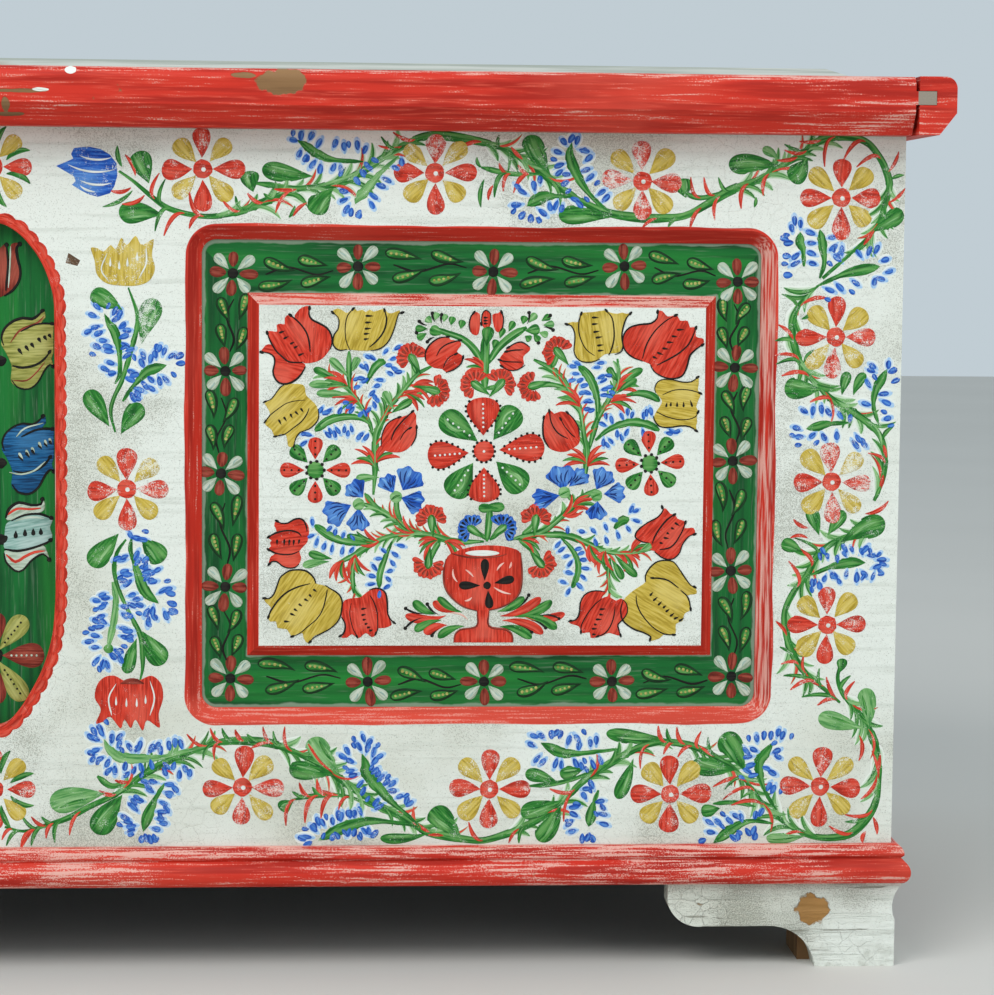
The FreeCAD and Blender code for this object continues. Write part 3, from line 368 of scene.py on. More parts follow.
def green_coat(graph, along):
    """Dark green paint in brush lines, lighter in clouds and thin in places."""
    lines = graph.noise(190.0, 5.0, ALONG[along])
    fine = graph.noise(700.0, 3.0, ALONG[along])
    cloud = graph.noise(34.0, 3.0, ALONG[along])
    colour = graph.mix(graph.ramp(lines, 0.34, 0.6), GREEN_DARK, GREEN)
    colour = graph.mix(graph.both(graph.ramp(cloud, 0.5, 0.7), 0.75), colour, GREEN_LIGHT)
    colour = graph.mix(graph.both(graph.ramp(fine, 0.56, 0.76), 0.3), colour, GREEN_WORN)
    return colour, lines


def plank_paint():
    """Green where the front plank shows between overlay and field, thin at the rims; bare wood inside."""
    rim = 2.2
    ragged = 6.0
    graph = Graph("plank_green_and_wood")
    opening, _ = frame_distance(graph, *OPENING_HALF, OPENING_CORNER)
    field, field_steep = frame_distance(graph, *FIELD_HALF, 0.0)
    hairs = graph.both(graph.math("SUBTRACT", graph.noise(45.0, 4.0), 0.5), ragged)
    rim_mask = graph.ramp(graph.math("ADD", opening, hairs), -rim - 0.6, -rim + 0.8)
    foot_mask = graph.ramp(graph.math("ADD", field, hairs), rim * 0.7, 0.0)
    x = graph.axes()[0]
    panel = graph.math("GREATER_THAN", graph.math("ABSOLUTE", x), PANEL_X - OPENING_HALF[0] - OPENING_CORNER)
    thin = graph.both(graph.either(rim_mask, foot_mask), panel)
    upright = graph.either(field_steep, graph.math("SUBTRACT", 1.0, panel))
    green, green_lines = two_ways(graph, upright, lambda along: green_coat(graph, along))
    green = graph.mix(graph.both(thin, 0.8), green, GREEN_WORN)
    wood, wood_lines = bare_wood(graph, "x")
    front = graph.math("LESS_THAN", graph.facing()[1], -TURNED)
    graph.bump(graph.blend(front, wood_lines, green_lines), BRUSH_RELIEF)
    return graph.finish(graph.mix(front, wood, green), 0.5)


def side_paint(name, outward):
    """White outside, bare wood inside and on the ends."""
    graph = Graph(name)
    white, white_lines = white_coat(graph, "y", 1.2)
    wood, wood_lines = bare_wood(graph, "y")
    outside = graph.math("GREATER_THAN", graph.both(graph.facing()[0], outward), TURNED)
    graph.bump(graph.blend(outside, wood_lines, white_lines), BRUSH_RELIEF)
    return graph.finish(graph.mix(outside, wood, white), 0.58)


def moulding_paint(name, along, top, rub_depth, rub, wood_spots=(), white_spots=(), bare_from=1000.0):
    """Red mouldings, rubbed along their upper edge and knocked to wood in places; bare past bare_from."""
    graph = Graph(name)
    x, _, z = graph.axes()
    edge = graph.ramp(graph.math("SUBTRACT", top, z), rub_depth, 0.0)
    cloud = graph.ramp(graph.noise(6.0, 4.0), 0.42, 0.7)
    worn = graph.math("ADD", graph.both(edge, 0.8), graph.both(cloud, rub), True)
    red, lines = red_coat(graph, along, worn)
    if along == "y":
        front_end = graph.math("LESS_THAN", graph.facing()[1], -TURNED)
        red = graph.mix(front_end, red, red_coat(graph, "x", worn)[0])
    bare = graph.ramp(graph.noise(19.0, 6.0), 0.715, 0.735)
    for place, reach in wood_spots:
        bare = graph.either(bare, graph.oval(place, reach))
    wood = bare_wood(graph, along)[0]
    colour = graph.mix(bare, red, wood)
    for place, reach in white_spots:
        colour = graph.mix(graph.oval(place, reach), colour, WHITE)
    tongue = graph.math("GREATER_THAN", graph.math("ABSOLUTE", x), bare_from)
    colour = graph.mix(tongue, colour, WOOD_GREY)
    graph.bump(graph.math("SUBTRACT", lines, graph.both(bare, 1.5)), 0.00022)
    return graph.finish(colour, 0.5)


def foot_paint():
    """White paint over the feet, split along the grain, chipped to the wood and dirty towards the floor."""
    chip_place = (565.0, 41.0)
    chip_reach = (11.5, 10.5)
    dirt_rise = 26.0
    relief = 0.0005
    graph = Graph("foot_white")
    z = graph.axes()[2]
    white, lines = white_coat(graph, "x", 1.2)
    low = graph.ramp(z, dirt_rise, 0.0)
    splits = graph.ramp(graph.noise(210.0, 5.0, (0.09, 1, 1)), 0.63, 0.69)
    chips = graph.noise(60.0, 7.0, (0.35, 1, 1))
    chip_mask = graph.ramp(graph.math("ADD", chips, graph.both(low, 0.05)), 0.70, 0.72)
    chip_mask = graph.either(chip_mask, graph.oval(chip_place, chip_reach))
    wood = bare_wood(graph, "x")[0]
    wood = graph.mix(0.5, wood, WOOD_FRESH)
    soiled = graph.mix(graph.both(graph.both(low, graph.ramp(graph.noise(90.0, 4.0), 0.45, 0.7)), 0.5),
                       white, SPECK)
    soiled = graph.mix(graph.both(splits, 0.7), soiled, CRACK)
    rough = graph.total(lines, graph.both(graph.noise(160.0, 5.0, (0.2, 1, 1)), 3.0),
                        graph.both(splits, -2.0))
    graph.bump(graph.math("SUBTRACT", rough, graph.both(chip_mask, 2.5)), relief)
    return graph.finish(graph.mix(chip_mask, soiled, wood), 0.62)


def lid_paint():
    """Lid top: thin grey-green paint over wood, with pale and brown patches, and bare wood beneath."""
    graph = Graph("lid_worn_paint")
    cloud = graph.noise(9.0, 6.0, (0.4, 1, 1))
    lines = graph.noise(170.0, 5.0, ALONG["x"])
    paint = graph.mix(graph.ramp(lines, 0.38, 0.66), colour_of(158, 164, 154), colour_of(194, 196, 188))
    wood, wood_lines = bare_wood(graph, "x")
    rubbed = graph.ramp(graph.total(cloud, graph.both(lines, 0.3)), 0.68, 0.76)
    above = graph.math("GREATER_THAN", graph.facing()[2], -TURNED)
    painted = graph.both(above, graph.math("SUBTRACT", 1.0, rubbed))
    graph.bump(graph.blend(painted, wood_lines, lines), WOOD_RELIEF)
    return graph.finish(graph.mix(painted, wood, paint), 0.6)


def wood_material(name, along):
    """Bare wood, with painted shade: darker on the underside."""
    graph = Graph(name)
    wood, lines = bare_wood(graph, along)
    # Painted shade: faces turned downward get a dark brown.
    under = graph.math("LESS_THAN", graph.facing()[2], -TURNED)
    graph.bump(lines, WOOD_RELIEF)
    return graph.finish(graph.mix(under, wood, colour_of(58, 44, 32)), 0.7)


def iron_material():
    """Forged iron, dark with rust in its hollows."""
    graph = Graph("forged_iron")
    dents = graph.noise(120.0, 4.0)
    patches = graph.noise(35.0, 5.0)
    colour = graph.mix(graph.ramp(dents, 0.35, 0.65), IRON_DARK, IRON)
    colour = graph.mix(graph.both(graph.ramp(patches, 0.54, 0.7), 0.8), colour, RUST)
    graph.put(graph.shader.inputs["Metallic"], 0.75)
    graph.bump(dents, 0.0004)
    return graph.finish(colour, graph.blend(graph.ramp(patches, 0.4, 0.7), 0.42, 0.75))


def stroke_paint(colour, ground):
    """One brush colour: streaks along each stroke, a lighter pass beside its middle, dark rims and wear."""
    streak_shrink = 0.05
    tone_spread = 40.0
    pass_shift = 0.9
    wear_share = 0.2
    relief = 0.00008
    dark, main, light = PAINTS[colour]
    graph = Graph(f"{colour}_on_{ground}")
    stroke = graph.add("Attribute", attribute_name="stroke").outputs["Vector"]
    along, share, half = graph.add("SeparateXYZ", {0: stroke}).outputs
    mark = graph.add("Attribute", attribute_name="mark").outputs["Vector"]
    tone, wear, rise = graph.add("SeparateXYZ", {0: mark}).outputs
    across = graph.both(graph.both(share, half), 0.5)
    start = graph.add("CombineXYZ", {0: graph.both(along, streak_shrink), 1: across,
                                     2: graph.both(tone, tone_spread)}).outputs[0]
    streak = graph.noise(1.6, 5.0, start=start)
    body = graph.mix(graph.ramp(streak, 0.34, 0.56), dark, main)
    body = graph.mix(graph.both(graph.ramp(streak, 0.5, 0.72), 0.55), body, light)
    aside = graph.math("ABSOLUTE", graph.math("SUBTRACT", share,
                                              graph.both(graph.math("SUBTRACT", tone, 0.5), pass_shift)))
    inner = graph.both(graph.ramp(rise, 0.15, 0.45), graph.ramp(rise, 0.97, 0.8))
    body = graph.mix(graph.both(graph.both(graph.ramp(aside, 0.45, 0.05), inner), 0.5), body, light)
    body = graph.mix(graph.both(graph.ramp(graph.math("ABSOLUTE", share), 0.6, 0.9), 0.35), body, dark)
    faded = graph.total(graph.both(graph.noise(1800.0, 3.0), 0.6), graph.both(graph.noise(170.0, 3.0), 0.4))
    bare = graph.ramp(graph.math("ADD", faded, graph.both(wear, wear_share)), 0.645, 0.75)
    graph.bump(streak, relief)
    body = graph.mix(graph.both(bare, 0.85), body, GROUNDS[ground])
    if colour in WASHES:
        rim = graph.total(graph.math("ABSOLUTE", share), graph.both(streak, 0.5))
        body = graph.mix(graph.ramp(rim, 0.5, 1.1), body, GROUNDS[ground])
    return graph.finish(body, 0.5)


# Marks of use on the lid's front rail, each a place and its half sizes
RAIL_WOOD = (((196, 607), (15, 8.5)), ((170, 611), (8, 2)), ((18, 599), (24, 1.2)), ((14, 590), (3, 5)),
             ((0, 584), (26, 1.5)))
RAIL_WHITE = (((57, 613), (4.5, 2.6)), ((38, 600), (5, 1.2)))
# Materials of the solid pieces
materials = {
    "front_overlay": overlay_paint(),
    "field": field_paint(),
    "front_plank": plank_paint(),
    "side_board_left": side_paint("side_left_white", -1.0),
    "side_board_right": side_paint("side_right_white", 1.0),
    "rail": moulding_paint("rail_red", "x", rail_high[2], 5.0, 0.55, RAIL_WOOD, RAIL_WHITE, cleat_low[0] - 1),
    "cleat": moulding_paint("cleat_red", "y", rail_high[2], 5.0, 0.2),
    "base_front": moulding_paint("base_red", "x", base_high[2], 11.0, 1.3),
    "base_side": moulding_paint("base_side_red", "y", base_high[2], 11.0, 1.3),
    "foot": foot_paint(),
    "lid": lid_paint(),
    "wood_x": wood_material("bare_wood_long", "x"),
    "wood_y": wood_material("bare_wood_cross", "y"),
    "wood_z": wood_material("bare_wood_upright", "z"),
    "iron": iron_material(),
}


def material_for(node):
    """The material of a solid piece, by its name."""
    if node in materials:
        return materials[node]
    if node.startswith("field_"):
        return materials["field"]
    if node == "lid_front_rail":
        return materials["rail"]
    if node.startswith("lid_cleat"):
        return materials["cleat"]
    if node == "base_moulding_front":
        return materials["base_front"]
    if node.startswith("base_moulding"):
        return materials["base_side"]
    if node.startswith("foot_"):
        return materials["wood_z" if node.endswith("block") else "foot"]
    if node.startswith(("lid_plank", "lid_field")):
        return materials["lid"]
    if node.startswith("till_"):
        return materials["wood_y"]
    if node == "cleat_pegs":
        return materials["wood_z"]
    if node.startswith(("back_plank", "bottom_plank")):
        return materials["wood_x"]
    return materials["iron"]


WOOD_EDGE = 1.0 * MM
IRON_EDGE = 0.3 * MM
for node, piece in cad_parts.items():
    material = material_for(node)
    piece.data.materials.clear()
    piece.data.materials.append(material)
    soften = piece.modifiers.new("soft_edges", "BEVEL")
    soften.width = IRON_EDGE if material == materials["iron"] else WOOD_EDGE
    soften.segments = 2
    soften.limit_method = "ANGLE"
    soften.angle_limit = math.radians(40)
    soften.harden_normals = True


# Brush strokes: closed ribbons, their rims sunk a little into the board
ROOT = -0.05
SHOULDER = 0.72
LEAST_HALF = 0.12
UNEVEN = 0.04
HEIGHTS = {"ground": 0.10, "stem": 0.15, "leaf": 0.21, "petal": 0.27, "centre": 0.33, "line": 0.39,
           "dot": 0.45}


class Canvas:
    """A flat face to paint on: its zero point, the way its own x runs, and the way its paint stands out."""

    def __init__(self, name, ground, zero, across, outward, flips=(1,), wear=0.0):
        self.name = name
        self.ground = ground
        self.zero = Vector(zero)
        self.across = Vector(across)
        self.outward = Vector(outward)
        self.flips = flips
        self.wear = wear
        self.stems = []

    def holds(self, x, z):
        """Whether loose paint may reach a point: not past the front's edges or over a panel's red stripe."""
        if self.name != "front":
            return True
        stripe = 14.0
        edge = 3.0
        beside = abs(x - PANEL_X) < OPENING_HALF[0] + stripe
        level = abs(z - PANEL_Z) < OPENING_HALF[1] + stripe
        on_front = x < overlay_high[0] - edge and base_high[2] + edge < z < overlay_high[2] - edge
        return on_front and not (beside and level)

    def place(self, x, z, height, flip):
        """A point of the face, mirrored if flip is -1, raised by height."""
        upward = Vector((0, 0, 1))
        return (self.zero + self.across * x * flip + upward * z + self.outward * height) * MM


class Strokes:
    """All strokes of one colour on one canvas."""

    def __init__(self):
        self.vertices = []
        self.faces = []
        self.stroke = []
        self.mark = []


def bow(start, end, bend, share):
    """A point on a shallow curve; bend is its rise as a share of its length, to the left."""
    rise = 4 * share * (1 - share) * bend
    middle = between(start, end, share)
    return (middle[0] - (end[1] - start[1]) * rise, middle[1] + (end[0] - start[0]) * rise)


# Strokes by face, ground and colour
laid = {}


def points(text):
    """Points of a line, written as x,z pairs in millimetres."""
    return [tuple(float(number) for number in pair.split(",")) for pair in text.split()]


def between(first, second, share):
    """A point on the straight line through two others."""
    return (first[0] + (second[0] - first[0]) * share, first[1] + (second[1] - first[1]) * share)


def distance(first, second):
    """How far two points lie apart."""
    return math.hypot(second[0] - first[0], second[1] - first[1])


def polar(centre, radius, degrees):
    """The point at a radius and an angle from a centre."""
    angle = math.radians(degrees)
    return (centre[0] + radius * math.cos(angle), centre[1] + radius * math.sin(angle))


def heading(first, second):
    """The angle, in degrees, at which one point sees another."""
    return math.degrees(math.atan2(second[1] - first[1], second[0] - first[0]))


def smooth(corners, step=2.6, closed=False):
    """Close points on a round line through the given ones."""
    count = len(corners)
    found = []
    for index in range(count if closed else count - 1):
        if closed:
            before, start, end, after = (corners[(index + turn) % count] for turn in (-1, 0, 1, 2))
        else:
            start, end = corners[index], corners[index + 1]
            before = corners[index - 1] if index else between(end, start, 2)
            after = corners[index + 2] if index + 2 < count else between(start, end, 2)
        pieces = max(2, round(distance(start, end) / step))
        for piece in range(pieces):
            share = piece / pieces
            weights = (-share + 2 * share * share - share ** 3,
                       2 - 5 * share * share + 3 * share ** 3,
                       share + 4 * share * share - 3 * share ** 3,
                       share ** 3 - share * share)
            found.append(tuple(
                sum(weight * corner[axis] for weight, corner in zip(weights, (before, start, end, after))) / 2
                for axis in (0, 1)))
    if not closed:
        found.append(corners[-1])
    return found


def bent(start, end, bend):
    """Close points on a shallow curve from start to end."""
    step = 2.2
    count = max(6, round(distance(start, end) / step))
    return [bow(start, end, bend, index / count) for index in range(count + 1)]


def ribbon(canvas, colour, line, halves, level, wear=0.0):
    """One stroke along a line, with half its width at each point."""
    tone = dice.random()
    top = HEIGHTS[level] + dice.uniform(0, UNEVEN)
    length = sum(distance(first, second) for first, second in zip(line, line[1:])) or 1.0
    for flip in canvas.flips:
        strokes = laid.setdefault((canvas.name, canvas.ground, colour), Strokes())
        first = len(strokes.vertices)
        travelled = 0.0
        for index, point in enumerate(line):
            ahead = line[min(index + 1, len(line) - 1)]
            behind = line[max(index - 1, 0)]
            run = distance(behind, ahead) or 1.0
            side = (-(ahead[1] - behind[1]) / run, (ahead[0] - behind[0]) / run)
            travelled += distance(behind, point)
            half = max(halves[index], LEAST_HALF)
            for share, height in ((-1, ROOT), (-SHOULDER, top), (SHOULDER, top), (1, ROOT)):
                x = point[0] + side[0] * half * share
                z = point[1] + side[1] * half * share
                strokes.vertices.append(canvas.place(x, z, height, flip))
                strokes.stroke += [travelled, share, half]
                strokes.mark += [tone, wear + canvas.wear, travelled / length]
        for ring in range(len(line) - 1):
            start = first + 4 * ring
            for corner in range(4):
                following = (corner + 1) % 4
                strokes.faces.append((start + corner, start + following, start + 4 + following,
                                      start + 4 + corner))
        last = first + 4 * (len(line) - 1)
        strokes.faces.append((first, first + 1, first + 2, first + 3))
        strokes.faces.append((last, last + 1, last + 2, last + 3))


def patch(canvas, colour, rim, level, wear=0.0, base=None, tip=None):
    """A filled shape inside a closed rim; its brush lines run from base to tip."""
    inset = 0.35
    half = 14.0
    rim_share = 0.55
    tone = dice.random()
    top = HEIGHTS[level] + dice.uniform(0, UNEVEN)
    count = len(rim)
    area = sum(here[0] * after[1] - after[0] * here[1] for here, after in zip(rim, rim[1:] + rim[:1]))
    inward = 1 if area > 0 else -1
    base = base or rim[0]
    tip = tip or rim[count // 2]
    run = distance(base, tip) or 1.0
    way = ((tip[0] - base[0]) / run, (tip[1] - base[1]) / run)
    for flip in canvas.flips:
        strokes = laid.setdefault((canvas.name, canvas.ground, colour), Strokes())
        first = len(strokes.vertices)
        for index, point in enumerate(rim):
            ahead = rim[(index + 1) % count]
            behind = rim[index - 1]
            span = distance(behind, ahead) or 1.0
            side = (-(ahead[1] - behind[1]) / span * inward, (ahead[0] - behind[0]) / span * inward)
            for shift, height in ((0.0, ROOT), (inset, top)):
                x = point[0] + side[0] * shift
                z = point[1] + side[1] * shift
                strokes.vertices.append(canvas.place(x, z, height, flip))
                along = (x - base[0]) * way[0] + (z - base[1]) * way[1]
                across = (z - base[1]) * way[0] - (x - base[0]) * way[1]
                strokes.stroke += [along, rim_share * across / half, half / rim_share]
                strokes.mark += [tone, wear + canvas.wear, along / run]
        for index in range(count):
            lower = first + 2 * index
            following = first + 2 * ((index + 1) % count)
            strokes.faces.append((lower, following, following + 1, lower + 1))
        strokes.faces.append(tuple(first + 2 * index for index in range(count)))
        strokes.faces.append(tuple(first + 2 * index + 1 for index in range(count)))


def teardrop(share):
    """Half width of a drop: a point at 0, fullest at two thirds, round at 1."""
    return 1.955 * share * math.sqrt(max(0.0, 1 - share ** 2.1))


def feather(canvas, text, spacing=5.0, length=13.0, width=3.0, colours=("red", "leaf", "red", "pale_leaf")):
    """Short curved strokes that leave a stem on both sides, leaning towards its end."""
    least_lean = 20
    most_lean = 42
    red_width = 0.72
    wash_width = 2.4
    curl = 0.16
    line = smooth(points(text), 1.0)
    travelled = spacing
    turn = 0
    for index in range(1, len(line)):
        travelled += distance(line[index - 1], line[index])
        if travelled >= spacing:
            travelled = dice.uniform(-1.0, 1.0)
            way = heading(line[index - 1], line[index])
            for side in (-1, 1):
                lean = side * dice.uniform(least_lean, most_lean)
                tip = polar(line[index], length * dice.uniform(0.75, 1.25), way + lean)
                colour = colours[turn % len(colours)]
                turn += 1
                broad = width * dice.uniform(0.8, 1.2) * (red_width if colour == "red" else 1.0)
                if canvas.holds(*tip):
                    comma(canvas, "green_wash", line[index], tip, broad * wash_width, "ground", 0.0,
                          -side * curl)
                    comma(canvas, colour, line[index], tip, broad, "stem", 0.05, -side * curl)


def crescent(share):
    """Half width of a stroke that is thin at both ends."""
    return math.sin(math.pi * min(max(share, 0.0), 1.0)) ** 0.8


def petal(canvas, colour, base, tip, width, level="petal", wear=0.0, bend=0.0):
    """A drop-shaped stroke with its point at the base."""
    count = max(8, round(distance(base, tip) / 1.8))
    shares = [math.sin(math.pi / 2 * index / count) for index in range(count + 1)]
    line = [bow(base, tip, bend, share) for share in shares]
    ribbon(canvas, colour, line, [width / 2 * teardrop(share) for share in shares], level, wear)


def bead(canvas, colour, base, tip, width, level="petal", wear=0.0):
    """A small dab, round at both ends and fuller towards its tip."""
    steps = 8
    shares = [(1 - math.cos(math.pi * index / steps)) / 2 for index in range(steps + 1)]
    line = [between(base, tip, share) for share in shares]
    halves = [width / 2 * math.sqrt(max(0.0, 1 - (2 * share - 1) ** 2)) * (0.75 + 0.35 * share)
              for share in shares]
    ribbon(canvas, colour, line, halves, level, wear)


def comma(canvas, colour, start, end, width=3.0, level="leaf", wear=0.0, bend=None):
    """A short curved stroke, thin at both ends."""
    bend = dice.choice((-1, 1)) * dice.uniform(0.06, 0.16) if bend is None else bend
    line = bent(start, end, bend)
    halves = [width / 2 * crescent((index + 0.3) / (len(line) - 0.4)) for index in range(len(line))]
    ribbon(canvas, colour, line, halves, level, wear)


def barb(canvas, colour, start, end, width, wear):
    """A short stroke that runs into the nearest stem, if there is one close to its end."""
    reach = 9.0
    elbow_share = 0.42
    joints = [(distance(stem[index], end), stem, index)
              for stem in canvas.stems for index in range(1, len(stem) - 1)]
    gap, stem, index = min(joints, key=lambda joint: joint[0], default=(reach, None, 0))
    if gap >= reach or stem is None:
        comma(canvas, colour, start, end, width, "leaf", wear)
        return
    joint = stem[index]
    run = distance(stem[index - 1], stem[index + 1]) or 1.0
    way = ((stem[index + 1][0] - stem[index - 1][0]) / run, (stem[index + 1][1] - stem[index - 1][1]) / run)
    toward = (joint[0] - start[0]) * way[0] + (joint[1] - start[1]) * way[1]
    span = math.copysign(elbow_share * distance(start, joint), toward)
    elbow = (joint[0] - way[0] * span, joint[1] - way[1] * span)
    count = max(6, round(distance(start, joint) / 2))
    shares = [turn / count for turn in range(count + 1)]
    line = [between(between(start, elbow, share), between(elbow, joint, share), share) for share in shares]
    halves = [width / 2 * crescent(0.06 + 0.9 * share) for share in shares]
    ribbon(canvas, colour, line, halves, "leaf", wear)


def line_stroke(canvas, colour, corners, width, level="stem", ends=0.35):
    """A drawn line, a little uneven, thinner at its ends."""
    swell = 0.16
    swell_step = 0.23
    taper = 6
    line = smooth(corners)
    wave = dice.uniform(0, 6)
    halves = []
    for index in range(len(line)):
        share = index / (len(line) - 1)
        full = min(1.0, ends + (1 - ends) * taper * min(share, 1 - share))
        halves.append(width / 2 * full * (1 + swell * math.sin(index * swell_step + wave)))
    ribbon(canvas, colour, line, halves, level)
    if colour in ("leaf", "pale_leaf"):
        canvas.stems.append(line)


def disc(canvas, colour, centre, radius, level="centre", wear=0.0):
    """A small round, a little uneven."""
    corners = 18
    rim = [polar(centre, radius * dice.uniform(0.95, 1.05),
                 360 * index / corners) for index in range(corners)]
    patch(canvas, colour, rim, level, wear)


def leaf(canvas, base, tip, width, pale=False, wear=0.0):
    """A drop-shaped leaf with a lighter or darker streak beside its middle."""
    fullness = 1.15
    aside = 0.2
    streak_width = 0.22
    bend = dice.uniform(-0.06, 0.06)
    body, streak = ("pale_leaf", "leaf") if pale else ("leaf", "pale_leaf")
    petal(canvas, body, base, tip, width * fullness, "leaf", wear, bend)
    side = dice.choice((-1, 1)) * width * aside
    run = distance(base, tip) or 1.0
    off = (-(tip[1] - base[1]) / run * side, (tip[0] - base[0]) / run * side)
    start = between(base, tip, 0.3)
    end = between(base, tip, 0.84)
    comma(canvas, streak, (start[0] + off[0] * 0.4, start[1] + off[1] * 0.4),
          (end[0] + off[0], end[1] + off[1]), width * streak_width, "petal", wear, bend)


def commas(canvas, colour, text, width=3.2):
    """Many short strokes, each written as its start and end."""
    wear = 0.12
    ends = points(text)
    for start, end in zip(ends[::2], ends[1::2]):
        barb(canvas, colour, start, end, width * dice.uniform(0.85, 1.15), wear * dice.uniform(0, 2))


def leaves(canvas, text, width, pale=False, wear=0.0):
    """Several leaves of one width, each written as its base and tip."""
    ends = points(text)
    for base, tip in zip(ends[::2], ends[1::2]):
        leaf(canvas, base, tip, width, pale, wear)


def beads(canvas, spine, text, wear=0.08, size=1.0):
    """Small blue dabs on a pale wash, pointing away from the nearest point of a spine; some are doubled."""
    turn = 30
    wash_reach = 0.85
    wash_width = 9.0
    doubled = 0.3
    double_turn = 80
    double_width = 3.8
    route = smooth(points(spine), 4.0)
    for place in points(text):
        root = min(route, key=lambda point: distance(point, place))
        way = heading(root, place) + dice.uniform(-turn, turn)
        length = dice.uniform(5.6, 7.6) * size
        if canvas.holds(*polar(place, length, way)):
            wash_start = polar(place, -length * wash_reach, way)
            wash_end = polar(place, length * wash_reach, way)
            bead(canvas, "blue_wash", wash_start, wash_end, wash_width * size, "ground")
        base = polar(place, -length / 2, way)
        tip = polar(place, length / 2, way)
        bead(canvas, "blue", base, tip, dice.uniform(4.3, 5.4) * size, "petal", wear)
        aside = polar(place, dice.uniform(5.4, 6.6), way + dice.choice((-double_turn, double_turn)))
        if size == 1.0 and dice.random() < doubled and canvas.holds(*aside):
            bead(canvas, "blue", polar(aside, -2.4, way), polar(aside, 2.6, way), double_width, "petal", wear)


def drawn_flower(canvas, colour, rims, lines=(), ticks="", thick=1.15, tick="black", lift="petal", broad=1.9):
    """A flower laid as filled shapes with brush lines over it; each line starts with a thick end."""
    knob_reach = 2.2
    knob_width = 1.9
    for rim in rims:
        shape = points(rim)
        patch(canvas, colour, smooth(shape, 2.0, True), lift, dice.uniform(0.0, 0.12), shape[0],
              shape[len(shape) // 2])
    for text in lines:
        route = points(text)
        line_stroke(canvas, "black", route, thick * dice.uniform(0.85, 1.2), "line", 0.5)
        knob = between(route[0], route[1], knob_reach / distance(route[0], route[1]))
        bead(canvas, "black", between(knob, route[0], 1.5), knob, thick * knob_width, "line")
    ends = points(ticks)
    for start, end in zip(ends[::2], ends[1::2]):
        petal(canvas, tick, end, start, broad, "dot")


def spray(canvas, spine, bead_text, bulb=None, bulb_width=7.0, pale=False, width=3.4):
    """A thin stem with blue dabs round it, swelling to a bulb at one end."""
    past_bulb = 0.4
    bulb_share = 0.6
    route = points(spine)
    colour = "pale_leaf" if pale else "leaf"
    if bulb:
        place = points(bulb)[0]
        if distance(route[0], place) < distance(route[-1], place):
            route.reverse()
        near = route[-1]
        route.append(between(near, place, 1 + bulb_width * past_bulb / max(distance(near, place), 1.0)))
        line = smooth(route, 2.0)
        halves = []
        for index in range(len(line)):
            share = index / (len(line) - 1)
            round_end = math.sqrt(max(0.0, 1 - share ** 10))
            thin = width / 2 * min(1.0, 0.4 + 4 * share)
            halves.append(max(thin * round_end, bulb_width * bulb_share * teardrop(share) ** 2))
        ribbon(canvas, colour, line, halves, "leaf")
    else:
        line_stroke(canvas, colour, route, width, "leaf", 0.5)
    beads(canvas, spine, bead_text)


COMPASS = ("E", "NE", "N", "NW", "W", "SW", "S", "SE")


def rosette(canvas, centre, worn="", pale=""):
    """Eight petals, red and gold by turns, round a red eye with a white dot."""
    rubbed_wear = 0.62
    thin_wear = 0.42
    eye = 6.6
    dot = 1.8
    worn_ways = worn.split()
    pale_ways = pale.split()
    for index, way in enumerate(COMPASS):
        angle = 45 * index + dice.uniform(-4, 4)
        colour = "gold" if index % 2 else "red"
        start = polar(centre, dice.uniform(6.0, 7.5), angle)
        tip = polar(centre, dice.uniform(26, 29), angle)
        wear = rubbed_wear if way in worn_ways else thin_wear if way in pale_ways else dice.uniform(0.08, 0.3)
        petal(canvas, colour, start, tip, dice.uniform(12.5, 15), "petal", wear, dice.uniform(-0.04, 0.04))
    disc(canvas, "red", centre, eye, "centre", 0.1)
    disc(canvas, "white", (centre[0] + 0.6, centre[1] - 0.4), dot, "dot")


class Flower:
    """Places in a flower's own measure: across from -1 to 1, upward from 0 at its base to 1 at its tip."""

    def __init__(self, base, tip, half_width):
        self.base = base
        self.run = distance(base, tip)
        self.up = ((tip[0] - base[0]) / self.run, (tip[1] - base[1]) / self.run)
        self.half = half_width

    def at(self, across, upward):
        """A place in millimetres."""
        side = across * self.half
        rise = upward * self.run
        return (self.base[0] + self.up[0] * rise + self.up[1] * side,
                self.base[1] + self.up[1] * rise - self.up[0] * side)

    def many(self, text):
        """Several places in millimetres."""
        return [self.at(across, upward) for across, upward in points(text)]


def carnation(canvas, centre, facing, radius=10.0, colour="red"):
    """A fringed arc of petals round a green cup, opening towards an angle."""
    petals = 15
    petal_step = 14
    ticks = 9
    tick_step = 22
    for index in range(petals):
        angle = facing + (index - petals // 2) * petal_step + dice.uniform(-4, 4)
        petal(canvas, colour, polar(centre, radius * 0.3, angle),
              polar(centre, radius * dice.uniform(0.98, 1.16), angle), radius * 0.4, "petal",
              dice.uniform(0.0, 0.2))
    tick = "dark_red" if colour == "red" else "black"
    for index in range(ticks):
        angle = facing + (index - ticks // 2) * tick_step
        petal(canvas, tick, polar(centre, radius * 0.5, angle), polar(centre, radius * 0.9, angle), 2.1,
              "line")
    petal(canvas, "leaf", polar(centre, radius * 1.2, facing + 180), polar(centre, radius * 0.4, facing),
          radius * 0.62, "centre")
    petal(canvas, "pale_leaf", polar(centre, radius * 0.7, facing + 180), polar(centre, radius * 0.3, facing),
          radius * 0.3, "line")


